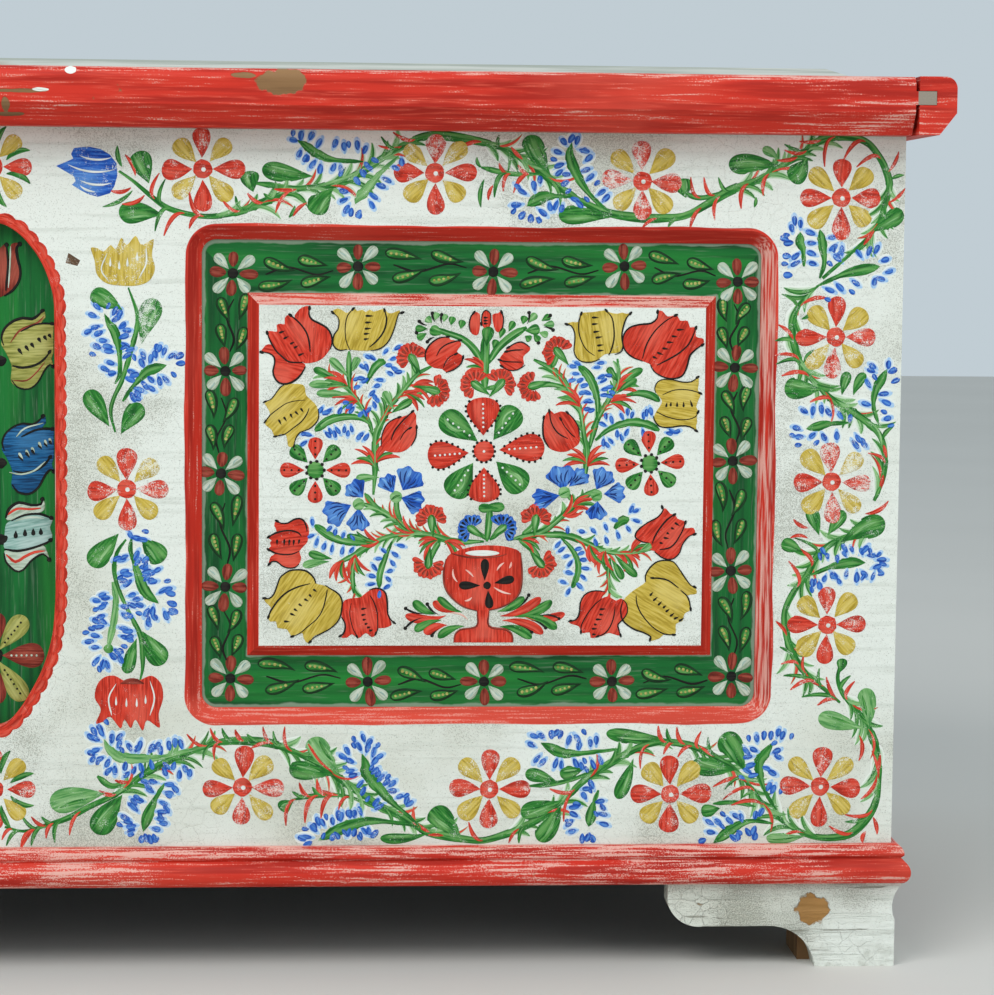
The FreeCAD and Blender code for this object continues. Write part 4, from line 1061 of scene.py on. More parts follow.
def blue_fan(canvas, root, facing, radius, spread=38):
    """One head of a cornflower: a blue fan with a wavy rim and fine dark lines."""
    count = 17
    dark_lines = 5
    line_step = 0.38
    rim = [root]
    for index in range(count):
        share = index / (count - 1)
        angle = facing + spread * (2 * share - 1)
        rim.append(polar(root, radius * (0.97 + 0.06 * math.cos(share * 19) - 0.2 * (2 * share - 1) ** 6),
                         angle))
    patch(canvas, "blue", rim, "petal", 0.0, root, polar(root, radius, facing))
    for index in range(dark_lines):
        angle = facing + (index - dark_lines // 2) * spread * line_step
        comma(canvas, "navy", polar(root, radius * 0.3, angle),
              polar(root, radius * dice.uniform(0.6, 0.85), angle), 1.3, "line")
    comma(canvas, "sky", polar(root, radius * 0.5, facing + 14), polar(root, radius * 0.95, facing + 10),
          2.6, "centre")


def dotted_petal(canvas, colour, base, tip, width, dot, dot_count, outline=False):
    """A drop with a row of dots along it, and small black dots round its rim if outlined."""
    dot_radius = 1.0
    first_dot = 0.22
    dot_run = 0.6
    rim_dots = 7
    petal(canvas, colour, base, tip, width, "petal", dice.uniform(0.05, 0.2))
    for index in range(dot_count):
        place = between(base, tip, first_dot + dot_run * index / max(dot_count - 1, 1))
        disc(canvas, dot, place, dot_radius, "dot")
    if outline:
        flower = Flower(base, tip, width / 2)
        for side in (-1, 1):
            for index in range(rim_dots):
                rise = 0.12 + 0.13 * index
                disc(canvas, "black", flower.at(side * teardrop(rise), rise), dot_radius, "line")


def dotted_rosette(canvas, centre, tilt=0.0):
    """A small flower of red and green petals with black dots, round a green eye."""
    root = 7.5
    long_reach = 24
    reach = 22.5
    petal_width = 11
    eye = 5.8
    eye_dots = 9
    for index in range(8):
        angle = 45 * index + tilt
        tip = polar(centre, reach if index % 4 else long_reach, angle)
        colour = "leaf" if index % 2 else "red"
        dotted_petal(canvas, colour, polar(centre, root, angle), tip, petal_width, "black", 3)
    disc(canvas, "leaf", centre, eye)
    for index in range(eye_dots):
        disc(canvas, "black", polar(centre, 6.0, 360 / eye_dots * index), 1.3, "line")


def band_flower(canvas, centre):
    """White and dark red petals by turns, round a black eye."""
    white_root = 4.0
    white_width = 7.6
    red_root = 4.5
    eye = 3.6
    turn = dice.uniform(-6, 6)
    for index in range(8):
        angle = 45 * index + turn + dice.uniform(-4, 4)
        if index % 2:
            petal(canvas, "dim_white", polar(centre, white_root, angle),
                  polar(centre, dice.uniform(16.5, 18.5), angle), white_width)
            comma(canvas, "pale_grey", polar(centre, 10.5, angle), polar(centre, 15.5, angle + 3), 1.0, "dot")
        else:
            reach = dice.uniform(14.5, 17.5)
            bead(canvas, "dark_red", polar(centre, red_root, angle), polar(centre, reach, angle),
                 dice.uniform(7.4, 8.6), "leaf", 0.1)
    disc(canvas, "black", centre, eye)


def pod(canvas, stalk, head, bend):
    """A green pod with a black outline and a row of gold seeds."""
    outline_width = 8.8
    body_width = 6.8
    seeds = 4
    first_seed = 0.42
    seed_step = 0.145
    petal(canvas, "dark_leaf", stalk, polar(head, 0.6, heading(stalk, head)), outline_width, "leaf", 0.0,
          bend)
    petal(canvas, "leaf", bow(stalk, head, bend, 0.2), polar(head, -0.5, heading(stalk, head)), body_width,
          "petal", 0.0, bend * 0.6)
    for index in range(seeds):
        disc(canvas, "olive", bow(stalk, head, bend * 0.8, first_seed + seed_step * index),
             dice.uniform(1.0, 1.35), "dot")


def pod_branch(canvas, root, end, turn):
    """A wavy black stalk with four pods that point from its root towards the next flower."""
    flower = Flower(root, end, 1.0)
    stalk_line = f"{turn * 2},0.2 {turn * 4},0.34 {-turn * 2},0.56 {turn * 2},0.74"
    line_stroke(canvas, "black", flower.many(stalk_line), 1.5, "stem", 0.6)
    pods = ((6.0, 0.22, 10.5, 0.46), (-1.5, 0.24, -7.0, 0.47), (6.5, 0.53, 10.5, 0.8), (0.5, 0.5, -7.5, 0.74))
    for across, rise, head_across, head_rise in pods:
        stalk = flower.at(turn * across, rise)
        head = flower.at(turn * head_across + dice.uniform(-1, 1), head_rise)
        pod(canvas, stalk, head, turn * dice.uniform(-0.1, 0.1))


def scallops(canvas, route, spacing, length, width):
    """A red stripe along a line, with overlapping dabs on it; less worn than the rest."""
    stripe_share = 0.42
    line = smooth(route, 1.0)
    ribbon(canvas, "red", line, [width * stripe_share] * len(line), "ground", -0.2)
    travelled = spacing
    for index in range(1, len(line)):
        travelled += distance(line[index - 1], line[index])
        if travelled >= spacing:
            travelled = 0.0
            way = heading(line[index - 1], line[index]) + dice.uniform(-6, 6)
            start = polar(line[index], -length / 2, way)
            end = polar(line[index], length / 2, way)
            comma(canvas, "red", start, end, width * dice.uniform(0.9, 1.12), "stem", -0.15, 0.1)


FRONT_WEAR = 0.3
FRONT = Canvas("front", "white_ground", (0, FACE_Y, 0), (1, 0, 0), (0, -1, 0), (1, -1), FRONT_WEAR)
MIDDLE = Canvas("front", "white_ground", (0, FACE_Y, 0), (1, 0, 0), (0, -1, 0), (1,), FRONT_WEAR)
FIELD = Canvas("field", "white_ground", (0, FIELD_Y, 0), (1, 0, 0), (0, -1, 0), (1, -1))
BAND = Canvas("band", "green_ground", (0, PLANK_Y, 0), (1, 0, 0), (0, -1, 0), (1, -1))
MEDALLION = Canvas("medallion", "green_ground", (0, PLANK_Y, 0), (1, 0, 0), (0, -1, 0), (1, -1))
CREST = Canvas("medallion", "green_ground", (0, PLANK_Y, 0), (1, 0, 0), (0, -1, 0))


# The barbs along the border's garlands
GARLAND = {"spacing": 7.5, "length": 20.0, "width": 3.8,
           "colours": ("leaf", "pale_leaf", "leaf", "red", "pale_leaf")}


def top_garland(canvas):
    """The garland along the top of the front, from the middle to the right corner."""
    for place, worn, pale in (((142, 550), "", "SW"), ((298.5, 549), "N", "NE NW"),
                              ((440, 545), "N W S", "E"), ((577, 535), "", "S")):
        rosette(canvas, place, worn, pale)
    line_stroke(canvas, "leaf", points(
        "86,548 96,541 108,531 120,523 140,518.5 155,519 170,523 190,531 205,537 233,541 250,550 265,560 "
        "280,569 292,573.5 305,574 320,572 335,569 350,564 362,556 375,547 388,537 400,530 418,523 440,520 "
        "455,520 470,522 485,530 500,539 520,547 535,556 550,565 560,573 572,576.5 585,576 595,572 602,564 "
        "607,555 610,543 606,527 600,513 585,498 565,480"), 6.2)
    for route in ("196,534 215,538 233,541 250,550 268,562", "330,570 350,564 362,556 380,543",
                  "500,539 520,547 540,559 560,573", "610,548 606,527 598,510", "150,519 170,523 190,531"):
        feather(canvas, route, **GARLAND)
    line_stroke(canvas, "pale_leaf", points("215,538 240,546 262,557 285,569"), 2.0, "leaf")
    line_stroke(canvas, "leaf", points("176,541 207,538 235,542"), 4.0)
    line_stroke(canvas, "leaf", points("467,538 480,534 500,539"), 3.4)
    line_stroke(canvas, "leaf", points("370,549 350,549 330,553"), 4.2)
    leaves(canvas, "115,519 86,519 106,540 98,561 553,562 541,547", 14)
    leaves(canvas, "230,538 216,521 377,549 362,575", 14)
    leaves(canvas, "216,546 182,551 418,520 383,521 598,512 619,527", 12)
    leaves(canvas, "176,535 173,549 470,534 467,547", 12)
    leaves(canvas, "534,556 499,556", 13)
    leaves(canvas, "534,560 522,568", 6, True)
    commas(
        canvas, "red",
        "97,545 90,559 94,537 80,535 103,532 88,526 113,547 112,532 133,535 143,523 155,530 167,524 "
        "172,534 185,525 190,537 205,531 191,521 204,529 203,519 212,528 116,505 128,515 133,510 140,514 "
        "270,576 285,573 260,567 275,569 314,565 330,571 342,556 347,553 355,555 362,550 350,567 360,562 "
        "335,531 338,541 345,537 350,546 352,536 362,545 473,548 480,537 482,548 490,538 473,513 482,523 "
        "490,519 498,529 508,527 516,537 523,536 530,546 440,513 450,518 547,573 563,573 537,567 552,566 "
        "532,560 547,563 565,556 573,568 578,561 590,568 587,556 600,561 609,553 616,567 610,532 621,542 "
        "593,503 605,508")
    commas(
        canvas, "leaf",
        "88,551 85,565 95,535 75,524 117,543 117,529 164,532 170,524 183,534 190,528 200,518 204,526 "
        "110,508 118,516 262,573 270,571 342,575 343,567 330,553 327,560 332,545 330,526 339,533 348,546 "
        "336,552 334,560 348,550 342,560 492,548 500,541 517,528 518,535 458,514 464,520 537,571 553,570 "
        "611,548 620,551")
    spray(
        canvas, "209,568 219,561 230,557 250,556",
        "203,570 208,573 215,573 220,568 231,568 237,566 246,567 251,564 207,561 211,558 216,554 221,551 "
        "230,552 235,551", "207,569", 6)
    spray(
        canvas, "274,560 262,549 252,537 247,532",
        "276,556 272,552 266,544 262,540 257,533 256,527 247,521 242,522 239,524 237,530 237,536 253,553 "
        "246,543 258,557 250,549", "246,530", 7, True)
    spray(
        canvas, "390,562 394,551 402,538 412,528 418,524",
        "386,571 391,573 395,572 382,564 400,565 403,560 383,555 383,550 388,549 401,552 404,547 387,543 "
        "412,537 415,533", "391,568", 7)
    spray(
        canvas, "392,534 375,534 367,531",
        "355,540 358,537 366,541 370,545 354,528 358,521 364,519 372,523 377,527 381,528 385,526 394,532 "
        "397,529", "364,529", 8)
    spray(
        canvas, "549,504 551,500 552,488",
        "545,519 543,514 549,517 538,507 541,504 540,495 546,495 546,490", "549,509", 6)
    spray(canvas, "564,506 565,500 566,490 563,480",
          "556,511 557,504 557,497 558,490 541,482 571,508 572,501", "563,511", 6)
    spray(
        canvas, "597,487 580,483 562,475",
        "578,499 575,494 590,497 597,499 602,500 608,493 611,485 605,480 570,472 577,474 588,477 601,478",
        "602,488", 7)
    blue_tulip(canvas)


def blue_tulip(canvas):
    """The blue flower that opens the top garland; it points to the middle of the front."""
    patch(
        canvas, "blue",
        points(
            "44,551 50,553.5 55.5,556 54,559 56,563 61,563.8 67,564 74,562.5 80,559 84.5,553 85,545 "
            "83,538 80,533 72,530.5 66,532 60,535 54.5,538.5 57,541 56,544 50,547.5"),
        "petal", 0.1, (85, 549), (44, 551))
    for text in ("81,557 60,558", "83,549 52,552", "81,540 60,541.5", "70,534 60,538"):
        comma(canvas, "white", *points(text), 1.9, "dot", bend=0.1)


def gold_cup(canvas):
    """The gold tulip at the head of the narrow column."""
    rim = points(
        "82,471.5 75,474 70.6,479.5 69.4,488 67,496.3 72,496 75.5,494 80.5,498.6 83.5,495.5 87.5,503.4 "
        "91,498.5 97,504.8 100.5,499 105,500.5 109.3,502.6 108,492 110,484 108.6,478 104.5,473.4 96,471")
    patch(canvas, "gold", smooth(rim, 2.0, True), "petal", 0.25, (89, 471), (89, 503))
    for text in ("78,493 74,482 79,474", "104,497 104,486 99,476"):
        line_stroke(canvas, "white", points(text), 1.3, "dot", 0.2)
    for place in points("80,486 86,484 91.5,486 98,490"):
        petal(canvas, "white", (place[0], place[1] + 4), (place[0], place[1] - 2), 2.0, "dot")


def red_cup(canvas):
    """The red tulip that hangs at the foot of the narrow column."""
    rim = points(
        "82,205.5 75,204.5 70,199 68.5,190 72.5,182 69,172.6 74,173.5 79,177 86,168.8 88.5,175 93,169 "
        "96,175 101,167.4 104,174.5 112.5,169.4 112,179 115,190 113.5,200 107,205.5 99,202.5 91,202 "
        "87.5,202.5")
    patch(canvas, "red", smooth(rim, 2.0, True), "petal", -0.2, (93, 205), (93, 168))
    for text in ("83,200 78,190 80,178", "106,202 109,190 106,178"):
        line_stroke(canvas, "white", points(text), 1.3, "dot", 0.2)
    for place in points("83,188 90,187 97,187 103,189"):
        petal(canvas, "white", (place[0], place[1] + 3), (place[0], place[1] - 3), 1.8, "dot")
    comma(canvas, "dark_red", (86, 200), (102, 200), 5.0, "centre")


def right_column(canvas):
    """The garland down the right end of the front."""
    for place, worn, pale in (((575, 440), "S", "SW E"), ((574, 340), "N NE E S", "SE"),
                              ((573, 240.5), "", "N"), ((570, 127), "", "")):
        rosette(canvas, place, worn, pale)
    line_stroke(canvas, "leaf", points(
        "562,475 550,463 545,452 545,440 548,428 555,415 565,405 573,397 590,387 603,377 609,368 611,355 "
        "609,340 604,327"), 6.0)
    line_stroke(canvas, "leaf", points(
        "607,311 596,306 580,300 566,290 558,275 550,265 544,253 543,243 546,228 552,215 560,205 570,197 "
        "583,186"), 5.6)
    line_stroke(canvas, "leaf", points(
        "583,214 581,203 585,192 595,180 602,170 608,157 611,143 611,130 610,118 606,108 598,98 588,92 "
        "570,91 553,97 540,106 528,116"), 5.8)
    for route in ("548,428 555,415 565,405 580,393 600,380", "562,475 550,463 545,446",
                  "604,327 610,345 610,362", "607,311 590,304 570,294 558,275",
                  "544,253 543,240 548,224 560,205", "585,192 598,176 608,157 611,135",
                  "570,91 553,97 540,106"):
        feather(canvas, route, **GARLAND)
    beads(
        canvas, "566,280 585,284 604,283",
        "567,288.2 572,288.5 579,286.5 584,290 589,293.3 596,291.6 602,291.6 608,289.5 611,283 609,278 "
        "604.3,274.5 597.5,274 592.4,272.8 585.6,276.2 580.5,271 575.4,274.5 570.3,272.8 563.5,270.5",
        size=0.8)
    leaves(canvas, "566,404 540,405", 14)
    leaves(canvas, "581,298 612,312", 15)
    leaves(canvas, "566,303 559,322 572,303 583,320 555,291 540,298", 9)
    leaves(canvas, "604,168 600,196 600,168 568,176", 12, True)
    leaves(canvas, "560,92 533,91", 8, True)
    leaves(canvas, "580,400 584,416 588,400 596,415 582,207 584,217", 7)
    commas(
        canvas, "red",
        "550,461 570,466 535,448 543,438 533,427 547,423 538,413 555,413 558,395 572,398 612,357 617,367 "
        "599,360 608,352 608,335 617,344 598,318 614,327 548,314 558,308 546,301 558,301 551,294 556,285 "
        "545,285 546,272 537,243 543,232 541,213 552,213 557,220 558,208 548,195 563,195 567,184 583,183 "
        "573,204 582,190 593,201 590,188 597,163 597,145 606,152 603,134 610,135 599,118 588,107 607,112 "
        "577,99 593,96 612,150 618,139 608,105 611,93 603,95 601,87")
    commas(
        canvas, "leaf",
        "537,469 545,460 551,452 561,461 533,437 545,436 534,421 549,420 553,422 560,431 609,369 616,378 "
        "605,328 616,334 549,301 560,290 540,225 553,218 543,205 567,203 556,190 580,188 568,210 572,198 "
        "590,205 587,197 588,102 607,106")
    spray(
        canvas, "607,410 604,405 602,393 606,380",
        "601,420 600,417 612,421 615,417 617,410 598,408 597,394 609,401 611,395 612,384", "610,416", 6)
    spray(
        canvas, "585,381 570,380 563,378",
        "554,389 560,389 566,390 571,388 579,386 586,384 549,377 551,371 560,372 568,371 577,372 590,366 "
        "596,366 592,370", "558,377", 6)
    spray(
        canvas, "560,275 575,281 588,284",
        "569,292 584,294 598,293 603,289 610,286 607,281 593,274 598,276 577,275 567,268 562,270",
        "596,284", 7)


def bottom_garland(canvas):
    """The garland along the bottom of the front."""
    for place, pale in (((169, 128), "E S"), ((339, 126), ""), ((465, 122), "")):
        rosette(canvas, place, "", pale)
    line_stroke(canvas, "leaf", points(
        "7,101 20,98 35,102 50,107 65,115 80,122 90,128 100,136 120,147 145,157 160,160 175,160 190,158 "
        "205,152 212,149 225,142 233,136 245,127 262,116 275,109 288,101 298,96 310,93 322,91 335,90 "
        "350,94 360,98 372,104 385,113 395,122 402,129 412,137 425,145 437,152 450,157 462,158.5 475,157 "
        "487,153 498,147 508,141 515,134 524,124 531,114 540,106 550,98"), 6.0)
    for route in ("80,122 100,136 120,147 145,157", "190,158 212,149 233,136 250,124",
                  "262,116 288,101 310,93", "350,94 372,104 390,117", "402,129 425,145 450,157",
                  "475,157 498,147 515,134 531,114"):
        feather(canvas, route, **GARLAND)
    line_stroke(canvas, "leaf", points("366,128 380,129 395,132 408,137 420,143"), 3.4)
    line_stroke(canvas, "leaf", points("203,119 221,122 240,121.5 257,115 276,106"), 3.4)
    line_stroke(canvas, "leaf", points("495,115 510,116 525,113"), 3.0)
    line_stroke(canvas, "leaf", points("400,151 415,152 430,154"), 3.0)
    line_stroke(canvas, "leaf", points("94,133 80,129 70,136"), 4.5)
    leaves(canvas, "75,124 38,116", 16, True)
    leaves(canvas, "87,123 69,96", 16)
    leaves(canvas, "236,138 216,162", 15, True)
    line_stroke(canvas, "red", points("214,158 222,146 231,138"), 2.4, "petal")
    leaves(canvas, "231,136 201,141 389,115 373,90 390,118 361,109 512,139 480,143", 13)
    leaves(canvas, "320,93 299,112 517,138 501,164", 16)
    leaves(canvas, "297,95 264,92", 7)
    leaves(canvas, "465,160 420,165 439,147 428,119", 9.5)
    leaves(canvas, "386,131 364,137 405,140 388,136 500,112 487,109 204,118 195,112", 9)
    commas(
        canvas, "red",
        "25,108 33,104 5,92 12,97 35,93 42,101 51,95 60,107 82,133 92,132 71,126 82,125 131,165 144,160 "
        "147,169 155,161 164,168 171,162 183,170 190,160 198,170 205,155 150,147 155,154 175,155 186,150 "
        "199,101 205,112 208,131 216,123 220,134 227,125 222,126 234,125 212,103 222,118 223,106 231,118 "
        "235,112 241,117 287,114 292,104 290,102 297,97 297,94 307,91 325,103 335,94 381,126 397,127 "
        "391,103 399,121 353,88 362,96 456,170 461,162 469,169 476,160 486,166 486,157 485,156 497,152 "
        "444,140 452,152 460,150 466,155 470,148 478,153 495,127 518,131 502,118 522,124 508,114 530,115")
    commas(canvas, "red", "18,86 29,98", 5.0)
    commas(
        canvas, "leaf",
        "18,110 28,103 32,108 40,106 8,88 16,96 25,88 33,97 41,90 46,100 155,169 162,162 172,165 180,160 "
        "190,167 195,159 142,147 148,153 203,125 212,121 217,128 225,122 360,88 367,97 462,168 468,161 "
        "491,162 498,153 503,125 515,129 515,119 523,121")
    spray(
        canvas, "78,155 86,149 100,148 114,149 129,153 143,156",
        "68,167 72,169 73,166 66,163 69,162 80,162 85,163 85,158 92,156 97,155 99,157 107,155 111,157 "
        "113,154 119,157 123,159 127,158 66,152 69,154 67,148 72,148 77,145 78,140 82,140 89,143 90,137 "
        "95,140 100,142 107,144 117,143 116,139 122,143 126,137 130,141 133,138", "76,159", 7, True)
    spray(
        canvas, "116,131 110,121 105,110 103,104",
        "89,107 91,104 93,101 93,98 100,92 103,93 106,92 109,92 113,106 115,103 110,99 115,117 117,113 "
        "114,111 119,130 119,124 123,127 97,121 99,119 95,118 95,114 105,128 108,132 103,132 106,126",
        "102,100", 7)
    spray(
        canvas, "290,100 280,102 262,104 250,103 235,98 228,94",
        "218,99 221,104 224,103 231,104 235,108 237,107 243,109 246,109 250,111 210,92 213,93 214,88 "
        "231,93 234,94 242,96 246,96 253,97 256,97 260,95", "224,92", 8)
    spray(
        canvas, "254,142 254,138 262,128 272,117 285,106 292,99",
        "249,156 252,162 256,159 255,155 241,153 238,149 243,146 259,152 263,149 260,146 243,139 245,136 "
        "262,137 264,134 260,139 250,130 252,125 268,131 272,130 272,125 261,117 263,114 277,121 282,118 "
        "284,116", "252,148", 8)
    spray(
        canvas, "383,154 390,151 405,151 420,153",
        "368,157 370,163 375,163 382,164 385,165 388,164 394,160 400,161 401,156 409,158 413,160 372,147 "
        "376,145 385,144 389,143 399,144 403,142 411,143 416,146", "377,157", 7)
    spray(
        canvas, "415,125 411,113 410,107",
        "405,121 407,126 410,129 398,113 400,115 398,108 395,102 397,96 404,91 408,92 411,91 416,117 "
        "418,113 418,108 419,101", "409,102", 7)
    spray(
        canvas, "531,150 527,145 528,133 533,121 540,110",
        "525,161 530,163 535,163 540,165 543,163 518,152 523,153 519,148 521,142 519,138 523,135 540,148 "
        "539,152 532,140 536,137 534,127 537,125", "535,156", 7)
    spray(
        canvas, "502,92 507,96 515,101 525,103 537,101",
        "493,102 499,102 494,95 507,103 512,106 515,105 525,107 529,109 513,92 510,91 520,95 524,96 "
        "525,92 488,89", "498,89", 7)


def left_column(canvas):
    """The narrow column of flowers between the medallion and the panel."""
    rosette(canvas, (90.5, 333.5), "NE E", "S")
    gold_cup(canvas)
    line_stroke(canvas, "leaf", points("92,470 98,452 97,440 93,425 88,408 82,395 80,385 83,372"), 3.6)
    leaves(canvas, "88,455 67,466 79,376 64,400 87,371 101,391", 12.5)
    leaves(canvas, "101,432 111,462", 14, False, 0.45)
    spray(
        canvas, "79,446 83,440 86,427 86,412 83,405",
        "71,457 68,451 83,454 86,452 84,449 65,440 70,443 72,439 88,444 91,441 89,437 75,434 71,430 "
        "78,430 79,427 90,431 93,428 91,424 80,419 76,415 81,412 94,413 96,411 93,408", "77,450", 6)
    spray(
        canvas, "108,415 103,412 95,403 88,393",
        "101,419 102,424 107,422 110,425 113,429 116,427 121,424 126,424 127,419 103,404 107,408 107,402 "
        "113,407 117,408 95,396 98,398 99,401", "115,417", 7)
    leaves(canvas, "85,303 66,281 100,300 115,284 101,236 116,214", 14)
    leaves(canvas, "97,231 90,207", 9)
    line_stroke(canvas, "leaf", points(
        "90,299 84,290 82,278 85,265 90,253 95,243 100,232 101,220 101,210 99,201"), 3.6)
    spray(
        canvas, "94,301 93,292 96,282 100,270 104,262",
        "93,302 97,300 101,299 84,286 87,285 89,287 97,288 98,284 103,285 102,280 89,277 91,275 88,271 "
        "91,269 104,277 107,276 111,278 108,270 104,273 115,264 118,265 120,262 121,255 122,250 117,247 "
        "109,246 105,243 104,249 108,250", "110,257", 7)
    spray(
        canvas, "81,270 83,258 82,245 78,226",
        "94,261 97,258 99,254 94,254 89,253 89,247 92,247 88,238 91,236 89,232 92,232 74,261 76,259 "
        "70,257 74,253 70,243 73,246 74,243 72,239 65,229 69,233 69,225 70,216 74,214 77,213 81,219 "
        "84,222 86,217", None, 6, True, 4.5)
    disc(canvas, "leaf", (78, 224), 3.4)
    red_cup(canvas)
    patch(canvas, "wood", points("52,493 60,488 58,484 50,486"), "ground", 0.2)


def middle_rosettes(canvas):
    """Rosettes on the middle line: one round the keyhole, one under the medallion."""
    eye_clear = 7.5
    keyhole = (0, 550)
    low = (0, 127)
    for place in (keyhole, low):
        for index in range(8):
            angle = 45 * index
            petal(canvas, "gold" if index % 2 else "red", polar(place, 9, angle), polar(place, 28, angle),
                  12.5, "petal", dice.uniform(0.05, 0.25))
            comma(canvas, "leaf", polar(place, 12, angle + 22.5), polar(place, 29, angle + 22.5), 4.5)
    rim = [polar(keyhole, eye_clear, 360 * index / 24) for index in range(25)]
    ribbon(canvas, "red", rim, [1.1] * len(rim), "centre")
    disc(canvas, "red", low, 6.4)
    disc(canvas, "white", low, 1.7, "dot")


def bouquet(canvas):
    """The goblet of flowers on a field, in the right panel's own places."""
    field_tulips(canvas)
    field_buds(canvas)
    for place, facing in (((284, 423), 120), ((299.5, 401.5), -15), ((327.5, 405.5), 145),
                          ((344.5, 406.5), 50), ((367, 405), 195), ((383.5, 428.5), 130),
                          ((298, 312.5), 95), ((369.5, 313), 85), ((296, 283), -95), ((373, 283), -50)):
        carnation(canvas, place, facing)
    for place, facing in (((325.5, 306.5), 145), ((346.5, 307), 40)):
        carnation(canvas, place, facing, 9.5, "blue")
    for root, facing, radius, spread in (((243, 323), 206, 20, 36), ((248, 321), -92, 16, 38),
                                         ((251, 328), 130, 14, 46), ((278, 333), 60, 17, 48),
                                         ((272, 331), 120, 14, 38), ((277, 328), -18, 16, 40),
                                         ((388, 334), 95, 17, 52), ((386, 330), 192, 19, 30),
                                         ((392, 336), 40, 16, 30), ((411, 334), 62, 16, 40),
                                         ((416, 331), 5, 15, 36), ((412, 326), -95, 13, 46)):
        blue_fan(canvas, root, facing, radius, spread)
    for place in points("248,323.5 273.5,328.5 389,332 411,330"):
        disc(canvas, "pale_leaf", place, 4.2, "line", 0.1)
        comma(canvas, "leaf", (place[0] - 3, place[1] - 2), (place[0] + 3, place[1] + 1), 2.2, "dot")
    dotted_rosette(canvas, (218.3, 346.7))
    dotted_rosette(canvas, (447.8, 352.2), 4)
    field_rosette(canvas)
    field_stems(canvas)
    field_beads(canvas)
    goblet(canvas)


